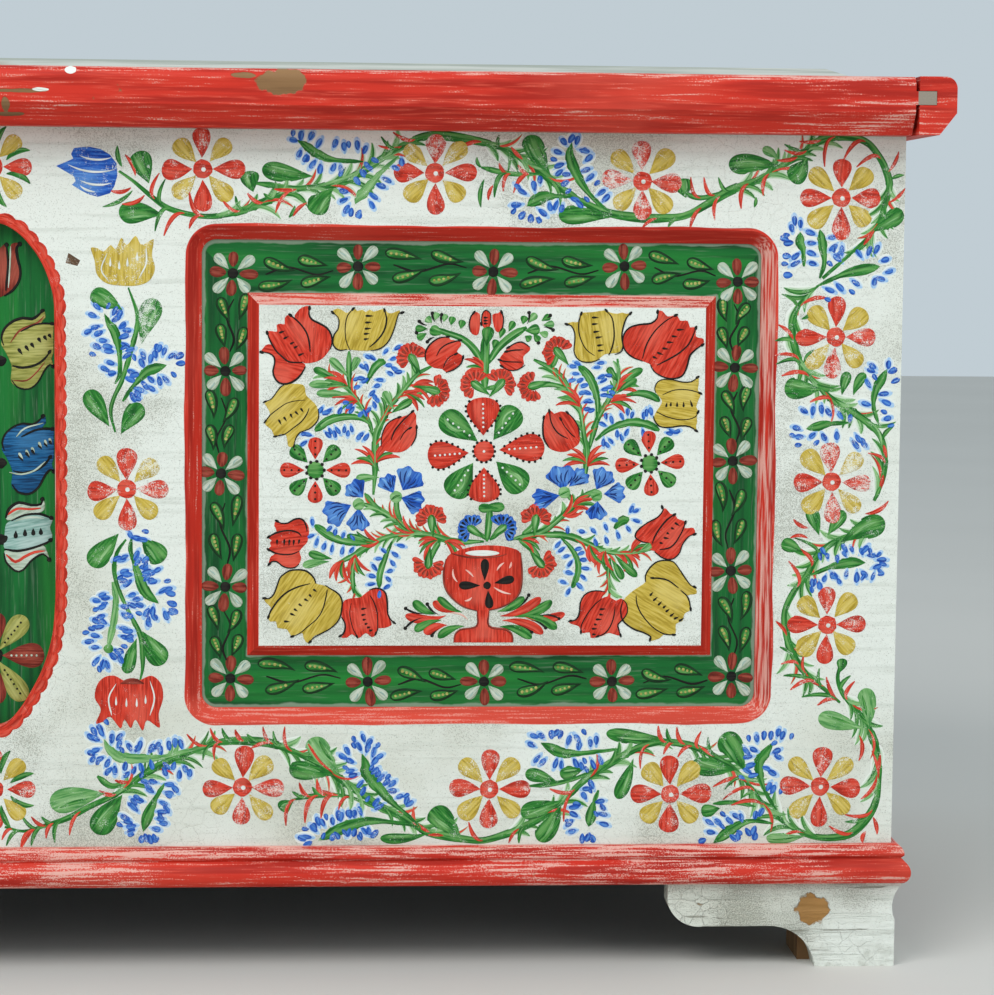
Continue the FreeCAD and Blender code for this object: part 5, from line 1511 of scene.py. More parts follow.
def field_tulips(canvas):
    """The twelve tulips round the field's edge."""
    drawn_flower(
        canvas, "red",
        ("209.8,420 216.8,420 223,422.8 228,429 229.3,434 228.7,439 226,443.5 220,447 215.2,449.3 "
         "213.6,453 213.8,457.8 211.4,458.3 207.5,456.5 204.8,453.2 204,450.5 209,444.3 213,436 213,427",
         "209.8,420 211.4,417.4 209,412.8 203.7,408 197.5,405.6 193,407 189.8,412 189.7,416 191,421.2 "
         "190,424.3 186.8,426.3 181.4,427.2 183,430 185,432 188,432.2 191,429 195.5,424.5 201,421",
         "210,420.5 201.4,420 195.2,424.3 190,430.5 187,436.6 185.5,441 189,441.2 192.2,441 191.8,445.3 "
         "194.5,446.3 197.2,446 197.4,450.3 200.6,452.4 206.8,447.4 212,440.5 214,433.5 214,427 212,422"),
        ("214,457.6 213.7,453 215.6,449.3 220,447 226,443.5 228.8,439 229.4,433.5 228,429",
         "200.6,452.4 206.8,447.4 212,440.5 214,433.5 214.6,427.4",
         "185.4,440.6 187,435.8 190.6,429 195.2,424.3 200.6,420.4 209.5,420.2",
         "181.2,427 186.8,426.2 190.2,423.5 190.6,419 189.5,414.3 190.6,409.7 193.7,406.2 199,405.5 "
         "204.5,408 209,412.8 211.4,417.4"),
        "193.5,440 197.5,441.5 196.5,436 200,437.8 201,432.5 204,434 203.5,429.8 206.5,431.5 206.5,424.8 "
        "210.5,426.5", 1.4)
    drawn_flower(
        canvas, "gold",
        ("240.6,428.8 234.5,428.5 231.4,430 230,433.5 231,439 233.7,443.5 234,447.4 232.2,452 229.4,454.8 "
         "233.3,457 237.5,455 239.8,454 244,457.4 246.4,455.3 250,456.3 252,454.7 255,456.3 257.5,455 "
         "261,456 264.8,456.8 267,454.5 270.2,454 275.5,456 274,451 271.8,444.3 269,436.6 265,432 "
         "259.8,429 250,428.2",),
        ("229.4,454.5 233.4,451 234.2,447 233.3,442.4 230.8,439 230,433.5 231.8,430 235.2,428.5 "
         "239.5,429.2",
         "244,457 239.8,452 238.5,445.8 238.3,440.5 239,435 240.6,430.8 242,428",
         "264.8,456.4 266.4,450.5 265.6,444.3 263,439 259,434.3 254.8,430.7",
         "277.6,454.6 274.6,453.6 271.4,442.8 268.3,435.8 264.5,431.3 259.8,429.1 256,428.6"),
        "252,452 257.5,452 251.8,447.4 256.4,447.8 251.4,443.2 256,443.6 251,439.7 255,440.1 251,436 "
        "254.4,436.6")
    drawn_flower(
        canvas, "gold",
        ("212,398 211.5,402 209.8,405 205,405.6 199.8,405.3 195.2,403.4 191.4,399 188.3,395 183.6,393 "
         "186,388.5 187.5,384.3 184.2,379.2 185,376.8 188.3,374.3 190.8,369.6 194.5,371 198,370.8 199,368 "
         "200,362.8 203.6,362.8 204.8,368.2 207.8,372.6 213,374.3 217.5,377.6 220.3,382 220,388.6 "
         "217.5,392.6",),
        ("183.6,393 188.3,395 191.4,399 194.5,403.2 197,404.8",
         "184,379.4 187.5,384 193,388.5 199,392.4 205.2,394 211.4,394.5",
         "190.6,369.6 197.5,371.2 203.7,375.8 209,380 212.5,385 214,389",
         "203.6,362.6 204.8,368 208,372.4 213.7,374.7 218.3,378.5 220.5,382.8 220.2,388.5"),
        "193.3,381.2 195.2,377.6 196.8,383 198.8,380 201.2,385.2 202.7,382.2 204.5,386.8 206.8,384.4 "
        "208.2,389 210.2,386.2", 0.9)
    drawn_flower(
        canvas, "red",
        ("213.3,297.7 214.4,304.6 213.5,309.2 210.6,312.5 206.8,313.5 203,312.2 199,310.4 194.5,310.5 "
         "191.6,312 190.4,308.5 192,304.6 186.2,300.6 188.6,298.6 187.4,296.8 188.3,294.6 186.4,292.4 "
         "191.4,290 188.3,287.6 187,284.6 186.8,281.8 188.5,283.6 191.6,283.8 195.2,281.5 199.8,279.7 "
         "204.8,280.2 208,283 209,287 207.7,290.8 210,293.8",),
        ("191.8,312 195.2,310.2 199.8,310.4 203.7,312.7 207.5,313.5 210.6,312 212.5,307.7 212.8,304.6",
         "186.3,300.6 191.4,303.5 196.8,305 202.2,305.2 206.8,303.8 209,301.5",
         "186.2,292.4 190.6,290 196.8,288.8 203,289.2 207.5,291.2",
         "186.8,281.8 188.7,283.8 192.2,284 196,281 199.8,279.6 204.5,279.8 207.5,282.3"),
        "192.5,299.2 192.4,295.2 197.5,299.4 197.2,294.8 201,299.2 200.5,294.8 204,299 203.5,295 "
        "207.7,299.2 207,296")
    drawn_flower(
        canvas, "gold",
        ("219,269 217.5,272.7 214.5,276 209.8,277.8 204.5,278 199,276.8 194.5,273.6 192.5,267.7 "
         "190.6,261.7 187,258.7 183.4,258.6 185,255.4 188.3,252.3 187.5,248.5 186.4,245.2 188,242.4 "
         "191.8,242.6 192.8,238.3 198,237.4 199.8,236.5 202.4,232.4 205.5,233 209.8,234.6 210.4,232 "
         "212.2,228.4 214.5,228.2 217.7,232.2 222.2,234.4 229,237.9 233.5,242.3 235.8,247 236.4,251.5 "
         "237,257 234.5,261.3 229.8,264.8 225.2,267.4",),
        ("183.4,258.7 187,258.4 190.2,261.2 192.2,266.2 194.5,272.7 197,275 200.6,277.5 206,278.3 "
         "211.4,277.8 215.2,275.4 218,272 219,268.8",
         "186.5,245.2 188.3,250 193,257 197.5,261.5 203,265 209,267.3 215.2,268.8",
         "202.4,232.2 207.5,234.2 213.7,239.2 219.8,244.6 223.3,250 225.2,256.2 226.4,262.3 226.8,264.6",
         "214.6,228.2 218,231.7 223,234.4 229,237.9 233.7,242.2 236.2,247.7 237,256.2 234.8,261.4 "
         "229.8,264.8 225.2,267.6"),
        "217.2,265 219.6,263.2 214.4,261.4 216.2,259.4 211,258.2 214,256.8 207.2,254.8 209.7,253.3 "
        "204,251.4 206.6,249.8 201.4,248.2 205,246.8 197.2,242.8 201.2,242.6")
    drawn_flower(
        canvas, "red",
        ("249.2,259.6 243,258.8 239,257.5 237.6,255.4 236.9,250.8 236.6,246.2 238.8,242.3 239.6,237.7 "
         "237.7,233.2 236.4,231.4 240.6,231.4 243.7,233.8 247.2,231.4 249.8,231.7 253.3,234.6 257.5,231.7 "
         "260.1,233.6 261.8,237.7 266.8,238.2 271.2,240.6 269.5,244.6 268,248.5 267.5,254.6 266.7,261.5 "
         "264.6,264.4 260.6,265.5 256,264.4 253,262.3",),
        ("235.4,232.4 237.4,233.7 239,237 239,241.5 236.6,245.8",
         "247.5,231.9 244.8,237 243,243 242.2,249.2 243.3,255.4",
         "259.8,233.9 261.3,237 261.4,241.5 261,249.2 258.7,256.2 256,260.8",
         "273,241.6 271,243.2 268.3,247.7 268,255.4 266.8,262 264,264.8 259.8,265.7 255.4,264.4"),
        "250,251.2 253.8,252 250.2,247 253.2,247.7 251,243.8 253.5,244.2 252.5,240.8 254.7,241.5 "
        "254,238.4 256.6,239 255.6,236.2 258.2,237", 1.0)
    drawn_flower(
        canvas, "gold",
        ("411.8,423.7 407.2,421.9 400.3,421.9 396.5,424.4 394.6,429 394.7,433.5 395.3,439 393.8,444.3 "
         "391.8,446.6 388.8,447.6 393.4,449 397.2,449 398.4,454.6 401,455.4 407.2,455.8 415.7,457 "
         "419.5,455.4 424.2,454.8 427.2,455.6 430.3,454.8 433.4,455.2 430.3,451 428,445 427.2,439 "
         "428,432.8 425.7,428.4 421.8,427.6 415.7,426.8",),
        ("388.8,447.5 392.6,446.2 395,441.2 395,435 394.6,429 396.5,424.4 400.3,421.8 406.5,421.4 "
         "412.4,423.6",
         "399.5,455.1 397.8,449.7 397.8,442 400,435 403.4,429.7 408.8,425.9",
         "416,457.2 420.3,452 421.8,444.3 421.8,436.6 420,429.7 418.4,426.4",
         "433.4,455.4 430.3,452 428,445 427.2,439 428.2,432 426.5,428.4 422.6,426.8"),
        "406.5,452 411.2,452 406.5,447.4 411,447.8 407.6,442 412,442.8 409.2,438.2 414,439 410.3,432.8 "
        "414.7,433.5 410.7,429.3 415,429.7")
    drawn_flower(
        canvas, "red",
        ("447.2,420 442.6,422 436.5,424.5 431.2,428.2 428.3,433.5 428.6,439.7 431,444.1 435.7,446.8 "
         "442.6,447.6 448,448.3 451,451 451.8,456.6 455,456.8 458.8,453.2 465,454.2 467.2,450.5 "
         "472.6,450.2 474.2,445.8 478.4,446 478.4,439.7 483.6,438 483.4,434 478,430.5 474,426.6 472.4,419 "
         "469.3,413 463.4,410.8 455.7,411.8 450.5,415",),
        ("451.8,456.8 451.5,452 447.2,448.3 439.5,447.4 432.6,445.3 429,441.2 427.9,435.8 429.7,429.7 "
         "435,424.9 441.8,422.5",
         "464.8,454.2 458,450.5 451,444.3 445.7,436.6 443,429.7 441.8,424.3",
         "478.4,446 476.5,440.5 473.4,434.3 468,429 461.8,425 451.8,419.7",
         "483.4,434.2 479.5,431.6 474.5,426.6 472.2,418.2 468.8,412.2 461.8,410.6 455,412.2 449.5,415.8 "
         "447.2,420"),
        "465,444 470.2,444.3 461.6,439.7 465.5,439.3 458.2,435.5 462.8,435.5 455.2,431.4 459.7,430.8 "
        "451.6,428.4 456,427 448.6,425.6 452,424.3", 1.3)
    drawn_flower(
        canvas, "gold",
        ("455.5,395 451,401.2 450.5,404.3 452.6,408.8 456.5,410 463.4,409.6 468.8,408.3 475.7,408.4 "
         "480.4,411.8 480.8,406.6 480.3,402.8 482.4,400.2 480.8,395.8 479.4,391.2 481,388 479.8,384.3 "
         "480.2,380.5 479.4,378.2 479.8,374.6 475.7,377.5 469.5,378.3 460.3,377.2 454.2,378 450.9,382 "
         "450.3,385 452,388.4",),
        ("480.4,411.9 475.7,408.5 469.5,408.2 463.4,409.6 456.5,410 452.4,408.2 450.5,404.3 451.1,400.8",
         "482.4,400.4 476.5,402.4 469.5,403.2 462.6,402.4 455.7,399.3",
         "480.8,388.2 478.8,384.5 473.4,382.6 466.5,382.6 458.8,384.5 451.8,387.8",
         "480,374.6 475,377.7 468.8,378.2 460.3,377 453.8,378 450.5,382 449.8,385"),
        "458.4,391 459,394.2 461.5,391.6 461.8,394.6 466,391.2 466,394.7 470.5,391 470.5,394.8 "
        "476.6,391.2 475,396")
    drawn_flower(
        canvas, "red",
        ("449.5,294.6 448.4,297 443.4,298 438.3,300.8 439.6,305.4 444.2,309.6 450.3,313 455,316.5 "
         "457.2,320.4 459.4,321.2 462.6,317.5 465.8,317 467.6,314.2 473,312 472.6,307.7 478.6,307.8 "
         "479.8,303.8 475,301.6 471.5,297 469.4,290.8 466.4,287.2 461.8,286 456.5,287.5 451.8,291.5",),
        ("456.6,322.6 457.4,320 454.2,315.4 447.2,311.5 441,307 438.6,303.5 438.9,300.5 443.4,298 "
         "448,297.3",
         "465.6,317.1 460.3,313.5 455,307 451.8,301.5 450.3,297",
         "473.1,312 471.5,307 468.8,301.5 465,296 461,293.5 455.3,292.7",
         "480,303.6 475.7,302 471,296 469.4,290.8 465.6,286.7 461,285.9 456.5,287.5 451.8,291.2"),
        "465.5,311.4 469,309.2 463,307.8 465.5,306.8 460,304.4 462,303.4 458,300.9 461.7,300.4 "
        "455.2,297.5 457.8,297", 1.2)
    drawn_flower(
        canvas, "gold",
        ("440.3,266.2 445.7,270 445.9,274.6 448.8,279.8 454.2,284.3 459.5,285.1 465,284.4 468.6,280 "
         "472.4,273.8 476.5,269.2 480.6,266.2 481.6,262 475,260.6 477,255.4 477.6,250.8 473.4,248 472,243 "
         "467.6,241 467,233.8 459.5,233.8 456.5,231 451,229.2 449.2,229.6 450.2,232.3 445.7,234.8 "
         "439.5,237.2 433.4,240.6 430.4,244.6 429.4,250 430.5,257 435,262.2",),
        ("480.6,266.4 477.2,268 473.4,273 469.2,279.2 465.3,284 460.3,285.1 454.2,284.4 448.9,280.2 "
         "445.8,274.6 446,270.4",
         "450,273 455.7,272.7 461.8,271.2 468.8,266.2", "477.6,250.8 475.7,259.2 470.3,264.6",
         "466.6,233.5 459.5,234 452.6,237.8 447.2,243 442.6,249.2 440,255.4 439.5,260.8",
         "449.6,229.6 450.2,232 445,235.1 438,237.5 430.5,243.5 429,250.8 430.5,258"),
        "449,260.6 451.2,263.2 451.3,257.1 454.4,259.8 454.8,254 457.4,256.7 458.2,252.1 460.5,254 "
        "460.1,249.4 462.8,251.4 463.2,246.3 466.2,248.7 465.8,244.4 469.4,246 469.3,242.8 473,245.2")
    drawn_flower(
        canvas, "red",
        ("420,260.6 415.7,258.7 418.4,263.2 414.2,264 408,263.6 403.6,260.7 401.2,256.2 400.8,250.8 "
         "399.4,245.4 393.4,242.5 394.6,241 400.3,239 402,234.6 407.6,235 408.2,231.4 411.8,231.4 "
         "417.2,232.9 421,234.6 428.6,232.8 427.8,237.7 427.3,240.8 430.3,244 433.2,247.7 433.9,251.5 "
         "432.4,256 428.8,259 425.7,257.2",),
        ("393.6,242.9 398,243.9 400.4,248.5 400.9,255.4 403.6,261 408.8,263.7 414.2,263.9 418,263.3",
         "401.6,234.8 401.8,240 405.7,247.7 411,254.6 415.7,258.5",
         "412.6,232.2 418,234.3 421.8,239.2 424.2,246.2 425,253",
         "429.2,232.6 427.6,237.7 427.2,240.8 431,244.7 433.6,249.2 433.1,254.6 430.7,257.8"),
        "414.3,251.2 418.6,251.5 414,247.7 417,247.3 411.6,244.2 415.9,244.2 410.5,240.8 412.8,240.4 "
        "409,237.7 412.8,237.7 409.3,233.8 412,233.8", 1.0)


def field_buds(canvas):
    """Four closed flowers, and the small open one at the top."""
    drawn_flower(canvas, "red", (
        "295.2,419 293.2,422 293.5,427.4 296,432.6 301.4,436.8 308,438.2 310,436.4 316.6,435 317.2,432 "
        "314.5,428.2 318.5,425 317.4,420.5 313,416 307.5,413.8 304.5,416 299,416.8",), (
        "308.8,438.3 301.4,436.9 295.3,432 292.8,426.6 293.3,421.5",
        "317,436 308.3,433.5 303,429.7 300.6,425", "314.3,426.8 309.8,424.7 306.8,421.2 305.2,416.8",
        "318.7,424.8 317.4,420 312.2,415.7 307,413.8"), "", 1.1)
    drawn_flower(canvas, "red", (
        "266,360 263.3,363 263.8,371.2 267,378.2 271.4,381.4 276,383.2 281,384.8 284.5,387.4 287,384.6 "
        "287,380.5 287.7,375 287,369.7 283.6,363.7 279,360 273.7,358.9",), (
        "276,383.3 271.4,381.6 266.8,378 263.7,371 263.2,363",
        "284.8,387.4 281.4,384.3 276.8,379.7 272,373.5 270,367.4",
        "283.3,376 281.4,375 278.3,372 276,367.4", "287.3,377 286.8,369.7 283.7,363.6"), "", 1.1)
    drawn_flower(
        canvas, "red",
        ("360.4,419.9 357.5,416.8 353,415 347.5,416.8 344.6,419.2 343.2,422.8 346.8,428.2 349.8,431.4 "
         "355.2,434.4 360.6,434 364.2,431.8 364.2,429 360,425",),
        ("347.6,428.2 353,429.3 359.8,429.7", "343.2,422.8 347.5,421.6 359,421.2",
         "349,430.8 353.7,433.8 358.7,435 364.3,431.6", "344.7,418.7 349.8,415.7 356,416 361.2,419.3"),
        "", 1.1)
    drawn_flower(
        canvas, "red",
        ("394,362 399,366 399.2,373 396.5,380 391.5,386 386,387.8 381.5,386.2 378.5,388.6 374.8,384 "
         "374,377 374.6,369 378,362.6 384,360 390,360",),
        ("390,387.2 395,382.4 398.5,376 398.6,370", "385.6,383 389,377 394,371.5 396,370",
         "378,388.4 379.5,380 384,373 391,369", "374.4,384 373.8,377 374.6,369 378,363"),
        "", 1.1)
    drawn_flower(
        canvas, "red",
        ("326,439.4 329,440 330.2,446.6 329.8,454 325.8,455.2 323.8,452.6 322.8,447.4 323.2,442",
         "334.5,443.5 331.2,446.6 331.2,453.3 333.7,456.6 337.2,454.2 337.4,446.6",
         "342.2,441.4 339.8,444.3 338.4,453.3 342.2,454.5 344.6,455.8 346.2,449 345,443.7"),
        ("326.2,455.2 323.8,452 322.7,446.6 323.4,442", "344.5,455.8 346,451.2 345.5,445 344,442.2",
         "331,446.6 331.5,453.5 333.7,456.4 337,454.2 337.4,447.4"),
        "332.4,451.4 335.6,451.4 332.4,449.4 335.6,449.4 332.4,447.4 335.6,447.4", 1.1)


def field_rosette(canvas):
    """The large flower in the middle: red and green drops with dots, round a red eye."""
    centre = (333.5, 360)
    eye = 7.2
    eye_dots = 14
    for base, tip, width in (((333, 371), (332.5, 397), 24), ((344, 361), (375, 363.5), 20),
                             ((333.5, 349), (334, 325), 23), ((323, 359), (295, 356.5), 20)):
        dotted_petal(canvas, "red", base, tip, width, "white", 6, True)
    for base, tip, width in (((340, 368), (356, 390), 19), ((342, 353), (362, 334), 20),
                             ((326, 352), (311, 329), 20), ((329, 367), (304, 385), 19)):
        dotted_petal(canvas, "leaf", base, tip, width, "white", 5)
        comma(canvas, "pale_leaf", between(base, tip, 0.4), between(base, tip, 0.92), 4.0, "centre", bend=0.2)
    disc(canvas, "red", centre, eye)
    for index in range(eye_dots):
        disc(canvas, "black", polar(centre, 7.4, 360 * index / eye_dots), 1.1, "line")
    disc(canvas, "white", centre, 1.2, "dot")


def field_stems(canvas):
    """Stems, leaves and the red and green barbs of the bouquet."""
    stem_share = 1.1
    light_share = 0.16
    barb_step = 18
    barb_curl = 0.14
    for text, width in (
            ("258,330 259,345 259,360 260,372 264,381 270,392 277,400 287,412 297,418", 4.6),
            ("258,370 254,382 248,393 241,402 233,408 222,414", 4.0), ("242,401 241,415 241,428", 3.4),
            ("334,441 333.5,425 333.5,412 334,401", 5.5),
            ("332,420 326,430 318,437 307,441 298,444", 4.6), ("336,420 342,430 352,439 362,445", 4.6),
            ("403,340 404,359 402,372 399,390 392,401 386,411 377,418 367,423", 4.6),
            ("406,362 409,376 413,386 419,396 424,404 425.5,412 424.5,424", 4.0),
            ("334,298 314,298 298,302 281,303 268,301 257,296 246,289 234,283", 4.8),
            ("352,299 362,302 376,303 392,302 405,297 420,291 436,290 450,293", 4.4),
            ("297,303 285,306 277,310 268,316 259,321 250,324", 4.8), ("264,318 256,326 252,331", 3.0),
            ("304,299 300,292 296,284", 4.6), ("304,301 300,308 298,313", 3.8),
            ("358,300 368,292 373,284", 4.0), ("360,302 367,308 370,313", 3.8),
            ("356,300 374,305 388,316 398,326 411,334", 5.4), ("396,324 392,330 389,334", 3.4),
            ("336,298 337,308 338,321", 4.4), ("337,299 330,304 326,307", 3.4),
            ("338,299 343,303 346,307", 3.4), ("277,310 274,320 274,329", 3.4),
            ("246,289 244,276 245,262", 3.8), ("421,287 420,275 421,262", 3.8),
            ("285,398 292,401 299,402", 3.8), ("392,402 380,406 368,405", 4.2),
            ("288,412 285,417 284,423", 3.4), ("379,417 382,423 384,429", 3.4),
            ("333,403 329,404 327,405", 3.6), ("334,403 340,404 345,406", 3.6)):
        line_stroke(canvas, "leaf", points(text), width * stem_share)
        line = smooth(points(text))
        ribbon(canvas, "pale_leaf", line[1:-1], [width * light_share] * (len(line) - 2), "leaf")
    for text in ("259,362 262,378 268,390 276,399 286,410", "256,376 250,390 242,401 230,409",
                 "318,299 300,302 284,304 268,301 258,297", "290,305 278,309 268,316 258,322",
                 "403,360 402,374 398,390 390,403 380,414", "408,376 414,388 421,399 425,410",
                 "362,302 376,306 388,315 398,325", "396,300 410,294 424,290 440,291",
                 "246,288 243,276 245,266", "422,284 420,272 421,264"):
        feather(canvas, text)
    for text, width in (("256,378 250,382 240,383.5 228,381 218,373.5", 6.5),
                        ("253,406 257,415 262,420.5 266,420", 6.0),
                        ("259,296 243,297 230,301 218,309", 6.5),
                        ("271,298 266,286 262.5,275 262.5,266", 5.0),
                        ("411,382 411,396 406,410 398,419", 7.0),
                        ("410,368 420,376 434,380.5 446,379 454,375", 6.5),
                        ("431,399 440,400.5 449,398.5 454,395", 6.0),
                        ("386,302 396,291 399.5,280 397,270 395,266", 5.0),
                        ("424,307 428,312 434,314", 7.5)):
        line = smooth(points(text))
        halves = [width / 2 * (0.3 + 0.7 * teardrop(index / (len(line) - 1))) for index in range(len(line))]
        ribbon(canvas, "leaf", line, halves, "leaf")
        ribbon(canvas, "pale_leaf", line[2:-2], [half * 0.3 for half in halves[2:-2]], "petal")
    petal(canvas, "leaf", (331, 321), (348, 322), 7.5, "leaf")
    petal(canvas, "leaf", (344, 321), (330, 321), 7.0, "leaf")
    for text, pale in (("240,404 214,405", True), ("236,408 217,416", False), ("241,410 228,423", True),
                       ("243,414 247,424", True), ("243,398 219,399", True), ("424,404 442,417", False),
                       ("424,400 438,410", False), ("425,408 418,418", False), ("262,342 246,341", True),
                       ("262,346 254,357", False), ("272,388 265,401", True), ("270,386 284,395", False),
                       ("258,298 240,302", False), ("230,286 214,290", False), ("228,284 210,281", True),
                       ("440,290 450,297", True), ("424,289 440,274", False), ("422,286 430,272", False)):
        leaves(canvas, text, 5.5, pale)
    barbs = (((240, 404), (170, 0)), ((247, 394), (200, 0)), ((284, 404), (-15, 1)), ((279, 399), (-25, 1)),
             ((259, 350), (150, 0)), ((260, 352), (40, 1)), ((399, 391), (150, 0)), ((404, 352), (165, 0)),
             ((405, 350), (30, 1)), ((424, 402), (20, 1)), ((420, 394), (-10, 1)), ((286, 304), (150, 1)),
             ((262, 298), (165, 1)), ((246, 289), (-75, 0)), ((238, 285), (-100, 0)),
             ((302, 299), (-150, 0)), ((307, 298), (-40, 1)), ((360, 299), (-20, 1)), ((388, 316), (40, 0)),
             ((395, 322), (10, 1)), ((407, 296), (-60, 0)), ((418, 292), (-95, 0)), ((428, 291), (-50, 1)),
             ((436, 291), (30, 1)), ((334, 415), (160, 0)))
    for place, (angle, turn) in barbs:
        side = 1 if turn else -1
        for step in range(4):
            colour = "leaf" if step == 1 else "red"
            tip = polar(place, dice.uniform(12, 18), angle + side * (step - 1.5) * barb_step)
            comma(canvas, colour, place, tip, dice.uniform(2.6, 3.6), "leaf", 0.05, side * barb_curl)
    field_fans(canvas)
    for text in ("306,441 296,443.5", "361,442.5 371,444"):
        leaves(canvas, text, 7.0)
    petal(canvas, "leaf", (334.5, 432), (336, 445.4), 9, "centre")


def drops(canvas, colour, text, width, curl=0.1):
    """Drop-shaped strokes that curl outward, each written as its base and its tip."""
    ends = points(text)
    for base, tip in zip(ends[::2], ends[1::2]):
        outward = 1 if (tip[0] < base[0]) == (tip[1] > base[1]) else -1
        petal(canvas, colour, base, tip, width * dice.uniform(0.9, 1.1), "petal", 0.05, curl * outward)


def pins(canvas, text):
    """Thin dark strokes with a round head, each written as its base and its head."""
    head_radius = 1.35
    tail_width = 1.8
    drops(canvas, "black", text, tail_width)
    for head in points(text)[1::2]:
        disc(canvas, "black", head, head_radius, "line")


def field_fans(canvas):
    """Small drops and dark pins round the ends of the two upper stems."""
    drops(
        canvas, "pale_leaf",
        "297.3,447.8 293.3,451.1 299.5,449.4 300.5,454.8 305.2,448.3 306.3,453.6 363.6,448.3 368.4,454.5 "
        "373.4,446.5 380.8,447.5 370.4,441.6 376.6,439.7", 5.2, 0.0)
    drops(
        canvas, "leaf",
        "294.3,443.5 286.0,443.7 293.7,440.5 287.3,436.8 310.2,446.1 311.5,452.0 372.2,449.6 378.0,453.0 "
        "366.7,440.4 370.8,435.7 360.9,439.1 364.9,436.4 316.9,443.7 318.3,449.6 349.8,442.1 353.2,449.1 "
        "359.3,447.1 360.8,452.8 339.1,430.4 341.8,436.3 343.7,437.5 346.1,444.5", 5.4, 0.0)
    pins(
        canvas,
        "293.9,446.0 288.7,448.5 299.5,448.2 297.6,454.1 304.1,447.0 303.9,453.1 299.2,437.9 294.2,434.7 "
        "287.3,443.5 286.8,440.8 362.3,447.4 363.5,455.0 373.7,445.3 380.1,443.3 375.8,451.5 378.0,453.2 "
        "371.1,437.3 370.1,434.5")


def field_beads(canvas):
    """Blue dots along the field's curved leaves."""
    small = 0.78
    for spine, text in (
            ("254,409 264,422 258,400",
             "266,428 274,430.5 254,424 257,423.5 271,423 250,417.5 253,417 268,418.5 272,416 274.5,414 "
             "269,413 262,408.5 260,404.5 257,399.5 258.5,397 260,395 258.5,391.5 246,409 249.5,409.5 "
             "246.5,403.5 252,408"),
            ("241,402 248,393 256,380",
             "239,393 241.5,390.5 243,388 235,387.5 227,387 222,388 225.5,386 252,386 249,385 254,387.5"),
            ("256,376 232,382 217,372",
             "211,371.5 213.5,371 210.5,365 227,371 228.5,373.5 231.5,371.5 233.5,374 238,374.5 240.5,372 "
             "243,375 248,369.5 253,369.5 249.5,371"),
            ("411,392 408,408 401,420",
             "394,418.5 397,420.5 396,413.5 393.5,409 399,409 402,405.5 401,400.5 404,400.5 404,395 "
             "406,394.5 404,389.5 407,388.5 413,421 410.5,418 413.5,411.5 415,409 418.5,412.5 416,403 "
             "419,404.5 421,401 415.5,399 419,398.5"),
            ("410,368 428,379 455,375",
             "417,384.5 421,382 415,379 428,384.5 432,387.5 435,385.5 443,385 448,388 445,387 425,372.5 "
             "428,370 431.5,373.5 443,373 446,371.5 463,374.5 461,373 466,374 415.5,366.5 420.5,367.5 "
             "418,365"),
            ("259,296 230,301 218,309",
             "216.5,311 215.5,301.5 219.5,297.5 224.5,294.5 230,293 237,291.5 243.5,292 228,306.5 232,304 "
             "237.5,302 244,300.5"),
            ("271,298 262.5,275 262.5,266",
             "265.5,291.5 262,286 259,280 257.5,274 257,268.5 277,295 273,289 271.5,283 269.5,277.5 "
             "268.5,272 267.5,266.5 262.5,261.5"),
            ("388,304 410,305 430,313",
             "391.5,305.5 401.5,305 409.5,305.5 418,308 426.5,302.5 433.5,307 439,312.5 438.5,319.5 "
             "435.5,320.5 424,313 418.5,299 411,297.5"),
            ("386,302 399.5,280 395,266",
             "385,296 387.5,292.5 391,288 393.5,283 393,276.5 389,270 392.5,263.5 399,293 401,290 "
             "402.5,285.5 404,279.5 402.5,273.5 400,267.5")):
        beads(canvas, spine, text, 0.0, small)


